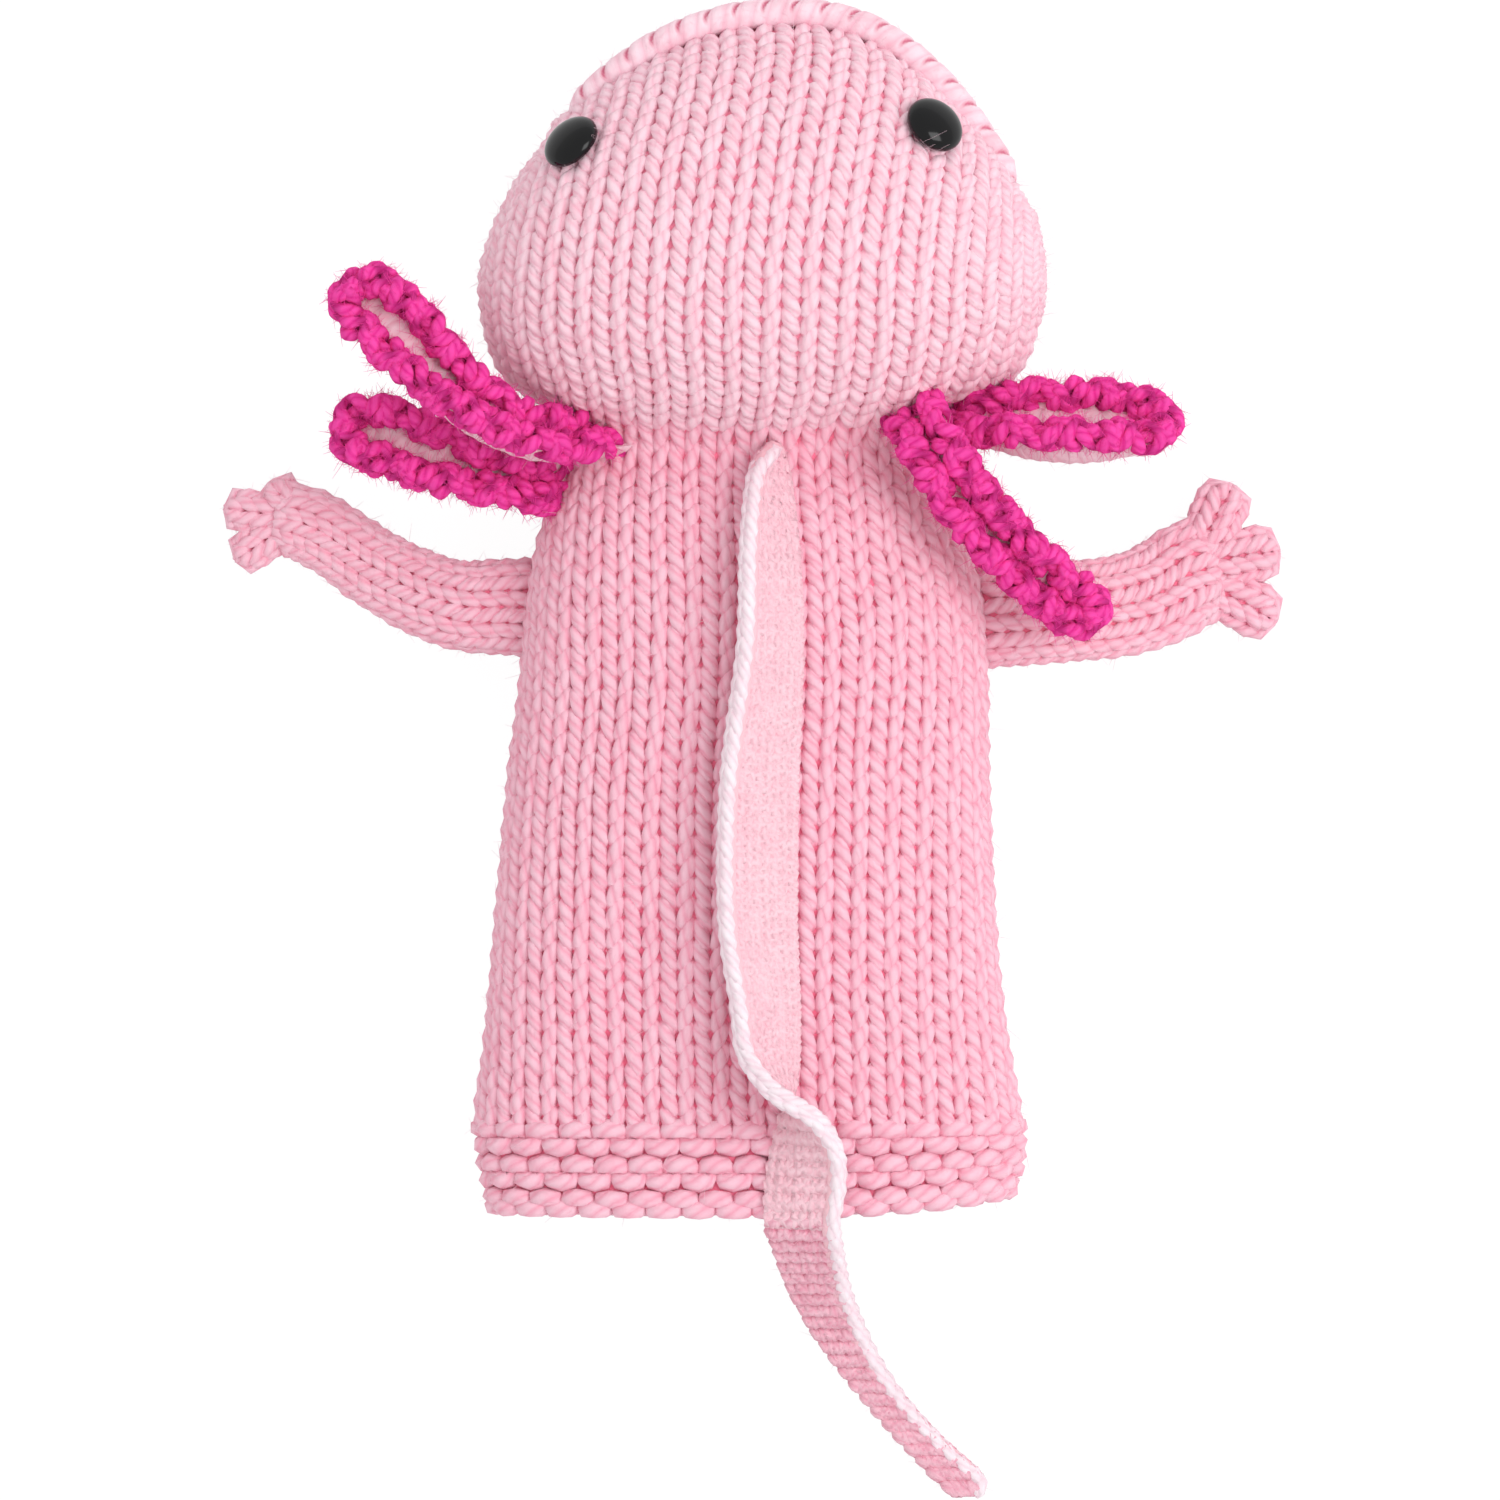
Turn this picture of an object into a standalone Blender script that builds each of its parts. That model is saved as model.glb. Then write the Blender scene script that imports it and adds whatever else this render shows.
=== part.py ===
# Hand-knitted axolotl glove puppet, lying on its belly.
#
# The knitted skin is one tube: a garter-stitch hem, the hand's sleeve, a drawn-in neck and a stuffed
# head that a crown seam closes. Arms, gills and the fin with its tail are sewn on to it.
# Metres. +Y runs from the tail to the head, +Z is up, and the origin is on the surface that the
# puppet lies on, under the middle of the sleeve.

import math

import bmesh
import bpy
import numpy as np
from mathutils import Matrix, Vector

MM = 0.001
DEGREE = math.pi / 180

# The fabric
FABRIC = 3.6 * MM  # thickness of the knitted skin
STITCH = 6.4 * MM  # width of one column of stitches
RIB_DEPTH = 0.7 * MM  # how deep the grooves between columns are
GARTER_RIDGES = 3
GARTER_DEPTH = 0.9 * MM
SEWN_GAP = 0.35 * MM  # between two pieces that are sewn together

# The skin, from the hem to the crown
HEM_WIDTH = 97.5 * MM
HEM_HEIGHT = 31.0 * MM
HEM_BAND = 19.0 * MM
HEM_DRAW = 4.0 * MM  # how much narrower the cast-on edge is than the band
HEM_RISE = 3.4 * MM  # how far the cast-on edge's right end lies in front of its middle
SLEEVE_LENGTH = 111.0 * MM  # from the hem's edge to the shoulders
SLEEVE_BEHIND = 65.3 * MM  # from the origin back to the hem's edge
WAIST_WIDTH = 87.0 * MM
WAIST_HEIGHT = 39.0 * MM
SHOULDER_WIDTH = 82.0 * MM
SHOULDER_HEIGHT = 42.0 * MM
SHOULDER_DRAW = 7.5 * MM  # how much narrower the skin is halfway from the shoulders to the neck
NECK_WIDTH = 63.0 * MM
NECK_HEIGHT = 35.0 * MM
NECK_LENGTH = 26.0 * MM  # from the shoulders to the drawn-in neck
HEAD_WIDTH = 101.0 * MM
HEAD_HEIGHT = 61.5 * MM
HEAD_LENGTH = 76.0 * MM  # from the neck to the crown seam
HEAD_LEAN = 2.4 * MM  # the head's middle lies this far to the right of the sleeve's
CROWN_WIDTH = 78.0 * MM
CROWN_LEAN = 4.9 * MM  # how far the seam's middle lies right of the head's
CROWN_THICK = 7.0 * MM  # two layers of fabric, held together by the seam
CROWN_BELOW = 27.0 * MM  # of the seam below the top of the head
CROWN_HEIGHT = HEAD_HEIGHT - CROWN_BELOW
CROWN_DROP_LEFT = 18.5 * MM  # how far the seam's ends lie behind its middle
CROWN_DROP_RIGHT = 31.5 * MM
BELLY_PRESS = 0.8 * MM  # how much of the round belly the surface presses flat

# The crown seam
SEAM_THICK = 4.6 * MM
SEAM_STITCH = 6.3 * MM
SEAM_ENDS = (0.035, 0.03)  # share of the crown's half turn left bare at its left and right ends

# Eyes
EYE_WIDTH = 10.8 * MM
EYE_DOME = 3.4 * MM
EYE_EDGE = 0.6 * MM  # height of the straight edge below the dome
EYE_POST = 3.4 * MM
EYE_POST_LENGTH = 8.0 * MM
EYE_CLEARANCE = 0.3 * MM
DOME_STEPS = 4
TURN_STEPS = 16  # sides of each turned piece
WASHER_WIDTH = 11.0 * MM
WASHER_THICK = 1.4 * MM
RIGHT_EYE = (13.75, 0.165)  # ring of the skin, and share of a turn from its right side
LEFT_EYE = (13.45, 0.389)

# Head stuffing
STUFFING_FROM = 9.7  # rings of the skin that the stuffing fills between
STUFFING_TO = 14.8
CAVITY_END = 15.2  # ring of the skin where the space inside it ends
STUFFING_GAP = 0.4 * MM
POCKET_WIDTH = 19.0 * MM
POCKET_HEIGHT = 17.0 * MM
POCKET_LENGTH = 42.0 * MM
POCKET_LIFT = 21.0 * MM

# Arms
ARM_RING = 6.9  # ring of the skin that the arms' middles leave from
ARM_FABRIC = 2.6 * MM
ARM_COLUMNS = 7
ARM_RIB = 0.45 * MM
ARM_HOLLOW_END = 5.0  # step of the arm where its hollow ends
FINGER_WIDTH = 7.6 * MM
ARMS = {
    # steps from the shoulder outwards, each (out, forwards, height of the middle), then width, thickness
    "left": (
        ((-9.0, -1.0, 15.6), 19.0, 13.6),
        ((2.5, -0.6, 14.8), 18.4, 13.2),
        ((11.0, -0.4, 13.4), 17.0, 12.6),
        ((19.5, 2.4, 10.8), 16.0, 11.4),
        ((27.5, 6.8, 8.2), 15.2, 10.5),
        ((34.0, 11.4, 7.0), 14.6, 10.0),
        ((40.0, 14.6, 6.4), 14.6, 9.5),
        ((46.5, 15.6, 6.0), 13.0, 9.0),
    ),
    "right": (
        ((-9.0, -2.4, 15.6), 20.0, 14.0),
        ((4.0, -2.0, 14.8), 19.6, 13.6),
        ((15.0, -1.4, 13.0), 19.0, 12.8),
        ((25.0, -0.2, 10.5), 19.4, 11.5),
        ((32.0, 2.2, 8.6), 20.0, 11.0),
        ((37.5, 5.6, 7.6), 20.5, 10.5),
        ((43.5, 7.0, 7.0), 20.0, 9.5),
    ),
}
FINGERS = {
    # root and tip of each finger, measured as the arms are, with the heights of their middles
    "left": (
        ((41.0, 15.5, 6.4), (46.0, 22.6, 6.0)),
        ((42.0, 15.6, 6.2), (54.6, 17.4, 5.0)),
        ((42.0, 14.6, 6.0), (52.6, 7.6, 4.6)),
    ),
    "right": (
        ((38.0, 8.6, 7.4), (44.8, 22.0, 6.6)),
        ((38.5, 7.4, 7.0), (53.6, 9.8, 6.0)),
        ((38.5, 4.4, 6.8), (53.0, -3.4, 5.4)),
    ),
}

# Gills
GILL_ROPE = 5.4 * MM  # thickness of the crocheted edging
GILL_BUMP = 0.2  # share by which it narrows between its stitches
GILL_STITCH = 7.2 * MM
LEAF_THICK = 2.2 * MM
GILLS = {
    # where it leaves the skin (ring, share of a turn), then steps from there: (right, forwards, up), the
    # whole width there, how far the leaf hangs below its edging, and the roll of its face in degrees
    "left_upper": (
        (9.2, 0.385),
        (
            ((3.5, 0.5, -2.0), 10.8, 2.6, 40),
            ((-4.5, -0.6, 4.0), 10.8, 3.0, 40),
            ((-12.5, 0.0, 8.5), 10.8, 4.5, 38),
            ((-21.3, 4.3, 11.5), 11.2, 6.0, 34),
            ((-29.2, 10.4, 12.5), 12.8, 6.5, 20),
            ((-35.0, 16.4, 12.5), 14.2, 6.0, 8),
            ((-41.5, 22.4, 12.0), 14.0, 4.5, 5),
        ),
    ),
    "left_lower": (
        (8.5, 0.45),
        (
            ((3.0, 0.0, -1.6), 11.0, 2.6, 10),
            ((-5.0, -1.1, 2.0), 11.0, 3.5, 10),
            ((-13.0, 0.6, 4.0), 11.6, 5.0, 8),
            ((-22.0, 3.1, 4.4), 13.0, 5.5, 6),
            ((-29.2, 5.9, 4.0), 14.0, 5.5, 4),
            ((-36.0, 8.2, 3.0), 13.8, 4.0, 0),
        ),
    ),
    "right_upper": (
        (9.4, 0.07),
        (
            ((-3.5, 0.7, -2.0), 11.0, 2.6, -30),
            ((5.5, 0.2, 4.0), 12.0, 4.0, -40),
            ((13.5, 0.4, 7.0), 14.6, 6.5, -46),
            ((22.5, 0.2, 8.0), 15.6, 7.5, -46),
            ((30.5, 0.0, 7.5), 15.2, 7.0, -44),
            ((36.0, -0.8, 7.0), 13.4, 5.0, -40),
        ),
    ),
    "right_lower": (
        (9.45, 0.15),
        (
            ((2.5, 4.0, -3.0), 11.2, 2.4, 0),
            ((5.5, 0.0, 6.0), 11.4, 2.6, 0),
            ((10.5, -9.0, 8.0), 11.6, 3.5, 0),
            ((16.3, -17.0, 6.5), 11.6, 4.0, 0),
            ((22.3, -23.4, 4.0), 11.4, 4.0, 0),
            ((29.0, -29.4, 1.0), 11.4, 4.0, 0),
            ((34.1, -33.4, -1.0), 11.2, 3.0, 0),
        ),
    ),
}

# Fin and tail: one strip, sewn to the spine along its foot
FIN_THICK = 3.8 * MM
FIN_RIM = 4.6 * MM  # thickness of the cast-off rim at its free edge
FIN_RIB = 0.45 * MM
FIN_SINK = 2.5 * MM  # how far the strip's foot would reach into the skin, before the cut to its seat
FIN_ON_SKIN = (
    # ring of the skin, place right of the sleeve's middle, depth of the fin, lean to the right in degrees
    (9.0, 5.0, 4.0, -30),
    (8.6, 6.6, 9.6, -44),
    (7.6, 8.2, 12.6, -50),
    (6.4, 9.0, 14.0, -52),
    (5.0, 8.2, 15.4, -60),
    (4.3, 8.0, 15.4, -62),
    (3.6, 8.4, 14.6, -52),
    (3.0, 8.4, 14.6, -44),
    (2.4, 7.4, 14.6, -14),
    (1.9, 6.0, 15.0, 24),
    (1.3, 4.0, 15.4, 54),
    (0.6, 2.9, 15.4, 66),
)
TAIL_STEPS = (
    # steps back from the hem's edge: (right of the sleeve's middle, back, height), width, lean in degrees
    ((3.0, 1.0, 29.5), 14.0, 70),
    ((4.8, 6.4, 24.0), 12.6, 74),
    ((7.4, 13.0, 16.5), 11.0, 78),
    ((10.9, 19.6, 10.6), 9.8, 80),
    ((15.9, 27.0, 6.6), 8.4, 82),
    ((22.0, 34.6, 4.4), 7.8, 84),
    ((28.0, 41.4, 3.6), 8.2, 86),
    ((33.0, 46.8, 3.4), 9.2, 88),
    ((36.2, 50.0, 3.4), 6.6, 88),
)

PINK = (0.93, 0.55, 0.66)
PALE_PINK = (0.94, 0.66, 0.74)
MAGENTA = (0.62, 0.01, 0.18)
FILLING = (0.86, 0.84, 0.80)
BLACK = (0.012, 0.012, 0.014)
WASHER_WHITE = (0.75, 0.75, 0.74)


# Scene and materials


def clear_scene():
    for obj in list(bpy.data.objects):
        bpy.data.objects.remove(obj)


def collection(name, hidden=False):
    made = bpy.data.collections.new(name)
    bpy.context.scene.collection.children.link(made)
    made.hide_render = hidden
    return made


def material(name, colour, roughness):
    made = bpy.data.materials.new(name)
    made.use_nodes = True
    shader = made.node_tree.nodes["Principled BSDF"]
    shader.inputs["Base Color"].default_value = (*colour, 1)
    shader.inputs["Roughness"].default_value = roughness
    made.diffuse_color = (*colour, 1)
    return made


# Lines through points


def through(values, at):
    """The smooth curve through values, which lie at 0, 1, 2 and so on, read at the places in at."""
    values = np.asarray(values, float)
    at = np.clip(np.asarray(at, float), 0, len(values) - 1)
    slopes = np.gradient(values, axis=0)
    low = np.minimum(at.astype(int), len(values) - 2)
    f = (at - low).reshape(at.shape + (1,) * (values.ndim - 1))
    a, b, da, db = values[low], values[low + 1], slopes[low], slopes[low + 1]
    return (
        (2 * f**3 - 3 * f**2 + 1) * a
        + (f**3 - 2 * f**2 + f) * da
        + (3 * f**2 - 2 * f**3) * b
        + (f**3 - f**2) * db
    )


def unit(vectors):
    return vectors / np.maximum(np.linalg.norm(vectors, axis=-1, keepdims=True), 1e-12)


# The skin's surface


def skin_sections():
    """Rows of the skin's rings, hem to crown: y of its middle, left and right sides; x of its left and
    right sides; z of its belly, its sides and its back."""
    hem = -SLEEVE_BEHIND
    shoulder = hem + SLEEVE_LENGTH
    neck = shoulder + NECK_LENGTH
    crown = neck + HEAD_LENGTH
    press = -BELLY_PRESS

    def across(width, skew=0.0):
        return (-width / 2 + skew, width / 2 + skew)

    def sleeve(y, width, height, skew, left=0.0, right=0.0):
        return (y, y + left, y + right, *across(width, skew), press, height * 0.46, height)

    span = SLEEVE_LENGTH - HEM_BAND
    band_top = hem + HEM_BAND
    flare = HEM_WIDTH - WAIST_WIDTH
    rows = [
        sleeve(hem, HEM_WIDTH - HEM_DRAW, HEM_HEIGHT - 1.5 * MM, 0.2 * MM, 0.4 * MM, HEM_RISE),
        sleeve(hem + HEM_BAND * 0.48, HEM_WIDTH, HEM_HEIGHT, 0.2 * MM, 0.0, 1.4 * MM),
        sleeve(band_top, HEM_WIDTH + 1 * MM, HEM_HEIGHT + 1 * MM, -0.4 * MM),
        sleeve(band_top + span * 0.11, WAIST_WIDTH + flare * 0.8, HEM_HEIGHT + 2 * MM, -0.6 * MM),
        sleeve(band_top + span * 0.285, WAIST_WIDTH + flare * 0.44, WAIST_HEIGHT - 3 * MM, -0.9 * MM),
        sleeve(band_top + span * 0.64, WAIST_WIDTH, WAIST_HEIGHT, -0.3 * MM),
        sleeve(band_top + span * 0.83, (WAIST_WIDTH + SHOULDER_WIDTH) / 2, SHOULDER_HEIGHT - 1 * MM, 0.6 * MM),
        sleeve(shoulder, SHOULDER_WIDTH, SHOULDER_HEIGHT, 0.8 * MM),
        sleeve(
            shoulder + NECK_LENGTH * 0.54, SHOULDER_WIDTH - SHOULDER_DRAW, SHOULDER_HEIGHT - 1.5 * MM, 0.1 * MM
        ),
    ]
    neck_side = neck + 1.6 * MM
    rows.append((neck, neck_side, neck_side, *across(NECK_WIDTH), 2.5 * MM, NECK_HEIGHT * 0.57, NECK_HEIGHT))
    head_rows = (
        # share of the head's length, the same for its left and right sides, half widths left and
        # right of the lean as shares of the head's, then the shares of its height for belly, sides, back
        (0.105, 0.160, 0.160, 0.92, 0.89, 0.005, 0.39, 0.74),
        (0.230, 0.295, 0.290, 1.00, 0.98, -0.013, 0.44, 0.90),
        (0.415, 0.440, 0.370, 1.00, 1.00, -0.013, 0.47, 1.00),
        (0.660, 0.600, 0.445, 0.905, 0.995, -0.013, 0.50, 0.99),
        (0.865, 0.710, 0.520, 0.785, 0.975, 0.12, 0.535, 0.835),
        (0.950, 0.770, 0.555, 0.735, 0.955, 0.29, 0.55, 0.71),
    )
    half = HEAD_WIDTH / 2
    for middle, left, right, wide_left, wide_right, low, side, high in head_rows:
        rows.append(
            (
                neck + HEAD_LENGTH * middle,
                neck + HEAD_LENGTH * left,
                neck + HEAD_LENGTH * right,
                HEAD_LEAN - half * wide_left,
                HEAD_LEAN + half * wide_right,
                HEAD_HEIGHT * low,
                HEAD_HEIGHT * side,
                HEAD_HEIGHT * high,
            )
        )
    crown_middle = HEAD_LEAN + CROWN_LEAN
    rows.append(
        (
            crown,
            crown - CROWN_DROP_LEFT,
            crown - CROWN_DROP_RIGHT,
            crown_middle - CROWN_WIDTH / 2,
            crown_middle + CROWN_WIDTH / 2,
            CROWN_HEIGHT - CROWN_THICK / 2,
            CROWN_HEIGHT,
            CROWN_HEIGHT + CROWN_THICK / 2,
        )
    )
    return np.array(rows)


SECTIONS = skin_sections()
LAST_RING = len(SECTIONS) - 1
RING_SAMPLES = 240
UPPER_RINGS = 15  # rings modelled between the hem band and the crown
INNER_POINTS = 24  # points round each ring of the cavity and of the stuffing
SIDE_POWER = 2 / 2.35  # a ring is between a circle and a rounded box
CORNER_POWER = 2.3  # a ring's ends bend back towards the hem, most of all near its sides


def ring_outline(ring, turns):
    """Points of one ring of the skin at these shares of a turn: 0 is the right side, 0.25 the spine."""
    y_mid, y_left, y_right, x_left, x_right, z_low, z_side, z_high = through(SECTIONS, np.array([ring]))[0]
    angle = 2 * math.pi * np.asarray(turns, float)
    c, s = np.cos(angle), np.sin(angle)
    across = np.sign(c) * np.abs(c) ** SIDE_POWER
    x = (x_left + x_right) / 2 + (x_right - x_left) / 2 * across
    lift = np.abs(s) ** SIDE_POWER
    z = np.where(s >= 0, z_side + (z_high - z_side) * lift, z_side - (z_side - z_low) * lift)
    side = np.where(c >= 0, y_right, y_left)
    y = y_mid + (side - y_mid) * np.abs(across) ** CORNER_POWER
    return np.stack([x, y, z], axis=1)


def even_ring(ring, count):
    """A ring of the skin with its points evenly spaced along each half, sides first."""
    dense = ring_outline(ring, np.linspace(0, 1, RING_SAMPLES + 1))
    half = RING_SAMPLES // 2
    made = []
    for part in (dense[: half + 1], dense[half:]):
        along = np.concatenate([[0], np.cumsum(np.linalg.norm(np.diff(part, axis=0), axis=1))])
        at = np.linspace(0, along[-1], count // 2 + 1)[:-1]
        made.append(np.stack([np.interp(at, along, part[:, k]) for k in range(3)], axis=1))
    return np.concatenate(made)


def outward(grid):
    """Outward directions on a grid of rings."""
    around = np.roll(grid, -1, axis=1) - np.roll(grid, 1, axis=1)
    along = np.gradient(grid, axis=0)
    return unit(np.cross(along, around))


def skin_grid(rings, count, offset=0.0):
    grid = np.stack([even_ring(r, count) for r in rings])
    return grid + offset * outward(grid)


def skin_frame(ring, turn):
    """(point, outward direction) on the skin at a ring and a share of a turn."""
    step = 0.02
    here = ring_outline(ring, [turn])[0]
    around = ring_outline(ring, [turn + step])[0] - ring_outline(ring, [turn - step])[0]
    along = ring_outline(ring + step, [turn])[0] - ring_outline(ring - step, [turn])[0]
    return here, unit(np.cross(along, around))


def spine_point(ring, right):
    """The point of the back on a ring at a given place right of the sleeve's middle."""
    turns = np.linspace(0.05, 0.45, 161)
    line = ring_outline(ring, turns)
    order = np.argsort(line[:, 0])
    return np.array([np.interp(right, line[order, 0], line[order, k]) for k in range(3)])


# Meshes


def add_mesh(name, points, faces, where):
    mesh = bpy.data.meshes.new(name)
    mesh.from_pydata([tuple(p) for p in points], [], faces)
    mesh.validate()
    made = bmesh.new()
    made.from_mesh(mesh)
    bmesh.ops.remove_doubles(made, verts=made.verts, dist=0.02 * MM)
    bmesh.ops.triangulate(made, faces=made.faces)
    bmesh.ops.recalc_face_normals(made, faces=made.faces)
    made.to_mesh(mesh)
    made.free()
    obj = bpy.data.objects.new(name, mesh)
    where.objects.link(obj)
    return obj


def rows_of_faces(rings, count):
    faces = []
    for i in range(rings - 1):
        for j in range(count):
            k = (j + 1) % count
            faces.append((i * count + j, i * count + k, (i + 1) * count + k, (i + 1) * count + j))
    return faces


def zip_faces(first, count):
    """Closes the ring that starts at point first by joining its upper half to its lower half."""
    faces = []
    for j in range(count // 2):
        quad = (j, j + 1, (count - j - 1) % count, (count - j) % count)
        corners = list(dict.fromkeys(first + q for q in quad))
        if len(corners) > 2:
            faces.append(tuple(corners))
    return faces


def loft(name, grid, where):
    """A closed solid over a grid of rings, its ends closed from the upper half to the lower."""
    rings, count = grid.shape[:2]
    faces = rows_of_faces(rings, count)
    faces += zip_faces(0, count)
    faces += zip_faces((rings - 1) * count, count)
    return add_mesh(name, grid.reshape(-1, 3), faces, where)


def apply_boolean(obj, operation, *others):
    for other in others:
        cut = obj.modifiers.new(other.name, "BOOLEAN")
        cut.operation = operation
        cut.solver = "EXACT"
        cut.object = other
        made_mesh(obj)


def made_mesh(obj):
    """Turns an object with live modifiers, or a curve, into a plain mesh object of the same name."""
    bpy.context.view_layer.update()
    graph = bpy.context.evaluated_depsgraph_get()
    mesh = bpy.data.meshes.new_from_object(obj.evaluated_get(graph))
    if obj.type == "MESH":
        obj.modifiers.clear()
        obj.data = mesh
        return obj
    made = bmesh.new()
    made.from_mesh(mesh)
    bmesh.ops.remove_doubles(made, verts=made.verts, dist=0.02 * MM)
    bmesh.ops.triangulate(made, faces=made.faces)
    bmesh.ops.recalc_face_normals(made, faces=made.faces)
    made.to_mesh(mesh)
    made.free()
    name, where, matrix = obj.name, obj.users_collection[0], obj.matrix_world.copy()
    bpy.data.objects.remove(obj)
    swap = bpy.data.objects.new(name, mesh)
    where.objects.link(swap)
    swap.matrix_world = matrix
    return swap


def paint(obj, finish):
    obj.data.materials.clear()
    obj.data.materials.append(finish)
    if obj.type == "MESH":
        obj.data.shade_smooth()
        obj.data.set_sharp_from_angle(angle=40 * DEGREE)
    return obj


# Strips and tubes along a line


def tube_grid(line, side, up, widths, thicks, count, ribs=0.0):
    """Rings of a flattened tube along a line. side and up are directions at each of its points."""
    turns = np.arange(count) / count * 2 * math.pi
    c = np.sign(np.cos(turns)) * np.abs(np.cos(turns)) ** 0.85
    s = np.sign(np.sin(turns)) * np.abs(np.sin(turns)) ** 0.85
    depth = np.where(np.arange(count) % 2 == 0, 0.0, ribs)
    half_wide = (widths[:, None] / 2 - depth)[..., None]
    half_thick = (thicks[:, None] / 2 - depth)[..., None]
    return (
        line[:, None, :]
        + half_wide * c[None, :, None] * side[:, None, :]
        + half_thick * s[None, :, None] * up[:, None, :]
    )


def rolled_frames(line, roll):
    """Directions across and out of the face of a strip along a line, rolled from facing up."""
    ahead = unit(np.gradient(line, axis=0))
    flat_side = unit(np.cross(ahead, np.array([0.0, 0.0, 1.0])))
    flat_up = np.cross(flat_side, ahead)
    c, s = np.cos(roll)[:, None], np.sin(roll)[:, None]
    return flat_side * c - flat_up * s, flat_up * c + flat_side * s


def rounded_ends(widths, share, ends=(True, True)):
    """Narrows the sizes along a tube so that its ends are round."""
    at = np.linspace(0, 1, len(widths))
    factor = np.ones(len(widths))
    if ends[0]:
        factor *= np.sqrt(1 - np.clip(1 - at / share, 0, 0.96) ** 2)
    if ends[1]:
        factor *= np.sqrt(1 - np.clip(1 - (1 - at) / share, 0, 0.96) ** 2)
    return widths * factor


# Pieces


def garter_offset(y, rim):
    """How deep the garter hem's grooves are at a distance from its edge."""
    pitch = HEM_BAND / GARTER_RIDGES
    place = (y - rim) / pitch
    return np.where(place < GARTER_RIDGES + 0.2, GARTER_DEPTH * np.abs(np.cos(math.pi * place)) ** 3, 0.0)


def skin_rings():
    """The rings that the skin is modelled on: close together at the hem's ridges."""
    hem_rings = np.linspace(0, 2, 4 * GARTER_RIDGES + 1)
    upper_rings = np.linspace(2, LAST_RING, UPPER_RINGS + 1)[1:]
    return np.concatenate([hem_rings, upper_rings])


def points_round():
    """Points round each ring of the skin: one on each column of stitches and one between."""
    half_round = np.linalg.norm(np.diff(even_ring(5, 120), axis=0), axis=1).sum() / 2
    return 4 * round(half_round / STITCH)


def knitted_skin(parts, cutters):
    rings, count = skin_rings(), points_round()
    grid = skin_grid(rings, count)
    out = outward(grid)
    groove = np.where(np.arange(count) % 2 == 0, RIB_DEPTH, 0.0)[None, :, None]
    fade = np.clip((rings - 1.9) / 0.3, 0, 1)[:, None, None]
    garter = garter_offset(grid[..., 1], SECTIONS[0, 0])[..., None]
    grid = grid - out * (groove * fade + garter * (rings < 2.05)[:, None, None])
    grid[..., 2] = np.maximum(grid[..., 2], 0.0)
    skin = loft("knitted_skin", grid, parts)
    hollow = hand_cavity(cutters)
    apply_boolean(skin, "DIFFERENCE", hollow)
    return skin


def inner_grid(inset, first, last):
    """Rings inside the skin at a depth from its surface. The cavity and the stuffing share them."""
    sleeve_rings = np.linspace(0, 8, 6)
    head_rings = np.linspace(8, CAVITY_END, 13)[1:]
    rings = np.concatenate([sleeve_rings, head_rings])
    grid = skin_grid(rings, INNER_POINTS, -inset)
    grid[..., 2] = np.maximum(grid[..., 2], inset)
    return grid[(rings >= first) & (rings <= last)]


def hand_cavity(where):
    """The space inside the skin, run out past the hem so that it cuts the mouth open."""
    grid = inner_grid(FABRIC, 0, CAVITY_END)
    mouth = grid[:1].copy()
    mouth[..., 1] -= 4 * FABRIC
    return loft("hand_cavity", np.concatenate([mouth, grid]), where)


def grown_skin(cutters):
    """The skin's outer form, larger by the sewn gap: what is sewn on is cut to it."""
    grid = skin_grid(skin_rings(), points_round(), SEWN_GAP)
    hem_edge, crown_edge = grid[:1].copy(), grid[-1:].copy()
    hem_edge[..., 1] -= SEWN_GAP
    crown_edge[..., 1] += SEWN_GAP
    return loft("sewing_line", np.concatenate([hem_edge, grid, crown_edge]), cutters)


def crown_seam(parts):
    """The chain that closes the crown, a rope with a bump for each stitch."""
    start, end = 0.5 - SEAM_ENDS[0], SEAM_ENDS[1]
    dense = ring_outline(LAST_RING, np.linspace(start, end, 200))
    dense[:, 2] = CROWN_HEIGHT
    along = np.concatenate([[0], np.cumsum(np.linalg.norm(np.diff(dense, axis=0), axis=1))])
    stitches = max(4, round(along[-1] / SEAM_STITCH))
    at = np.linspace(0, along[-1], 2 * stitches + 1)
    line = np.stack([np.interp(at, along, dense[:, k]) for k in range(3)], axis=1)
    ahead = unit(np.gradient(line, axis=0))
    out = unit(np.cross(np.array([0.0, 0.0, 1.0]), ahead))
    line = line + out * (SEAM_THICK / 2 + SEWN_GAP)
    radii = np.where(np.arange(len(line)) % 2 == 0, 0.82, 1.0)
    radii[[0, -1]] = 0.5
    return rope_along("crown_seam", line, SEAM_THICK / 2, radii, parts)


def rope_along(name, line, radius, shares, where):
    """A round rope along a line, its thickness a share of radius at each point."""
    curve = bpy.data.curves.new(name, "CURVE")
    curve.dimensions = "3D"
    curve.bevel_depth = radius
    curve.bevel_resolution = 1
    curve.use_fill_caps = True
    spline = curve.splines.new("POLY")
    spline.points.add(len(line) - 1)
    for point, place, share in zip(spline.points, line, shares):
        point.co = (*place, 1)
        point.radius = share
    obj = bpy.data.objects.new(name, curve)
    where.objects.link(obj)
    return made_mesh(obj)


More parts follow.
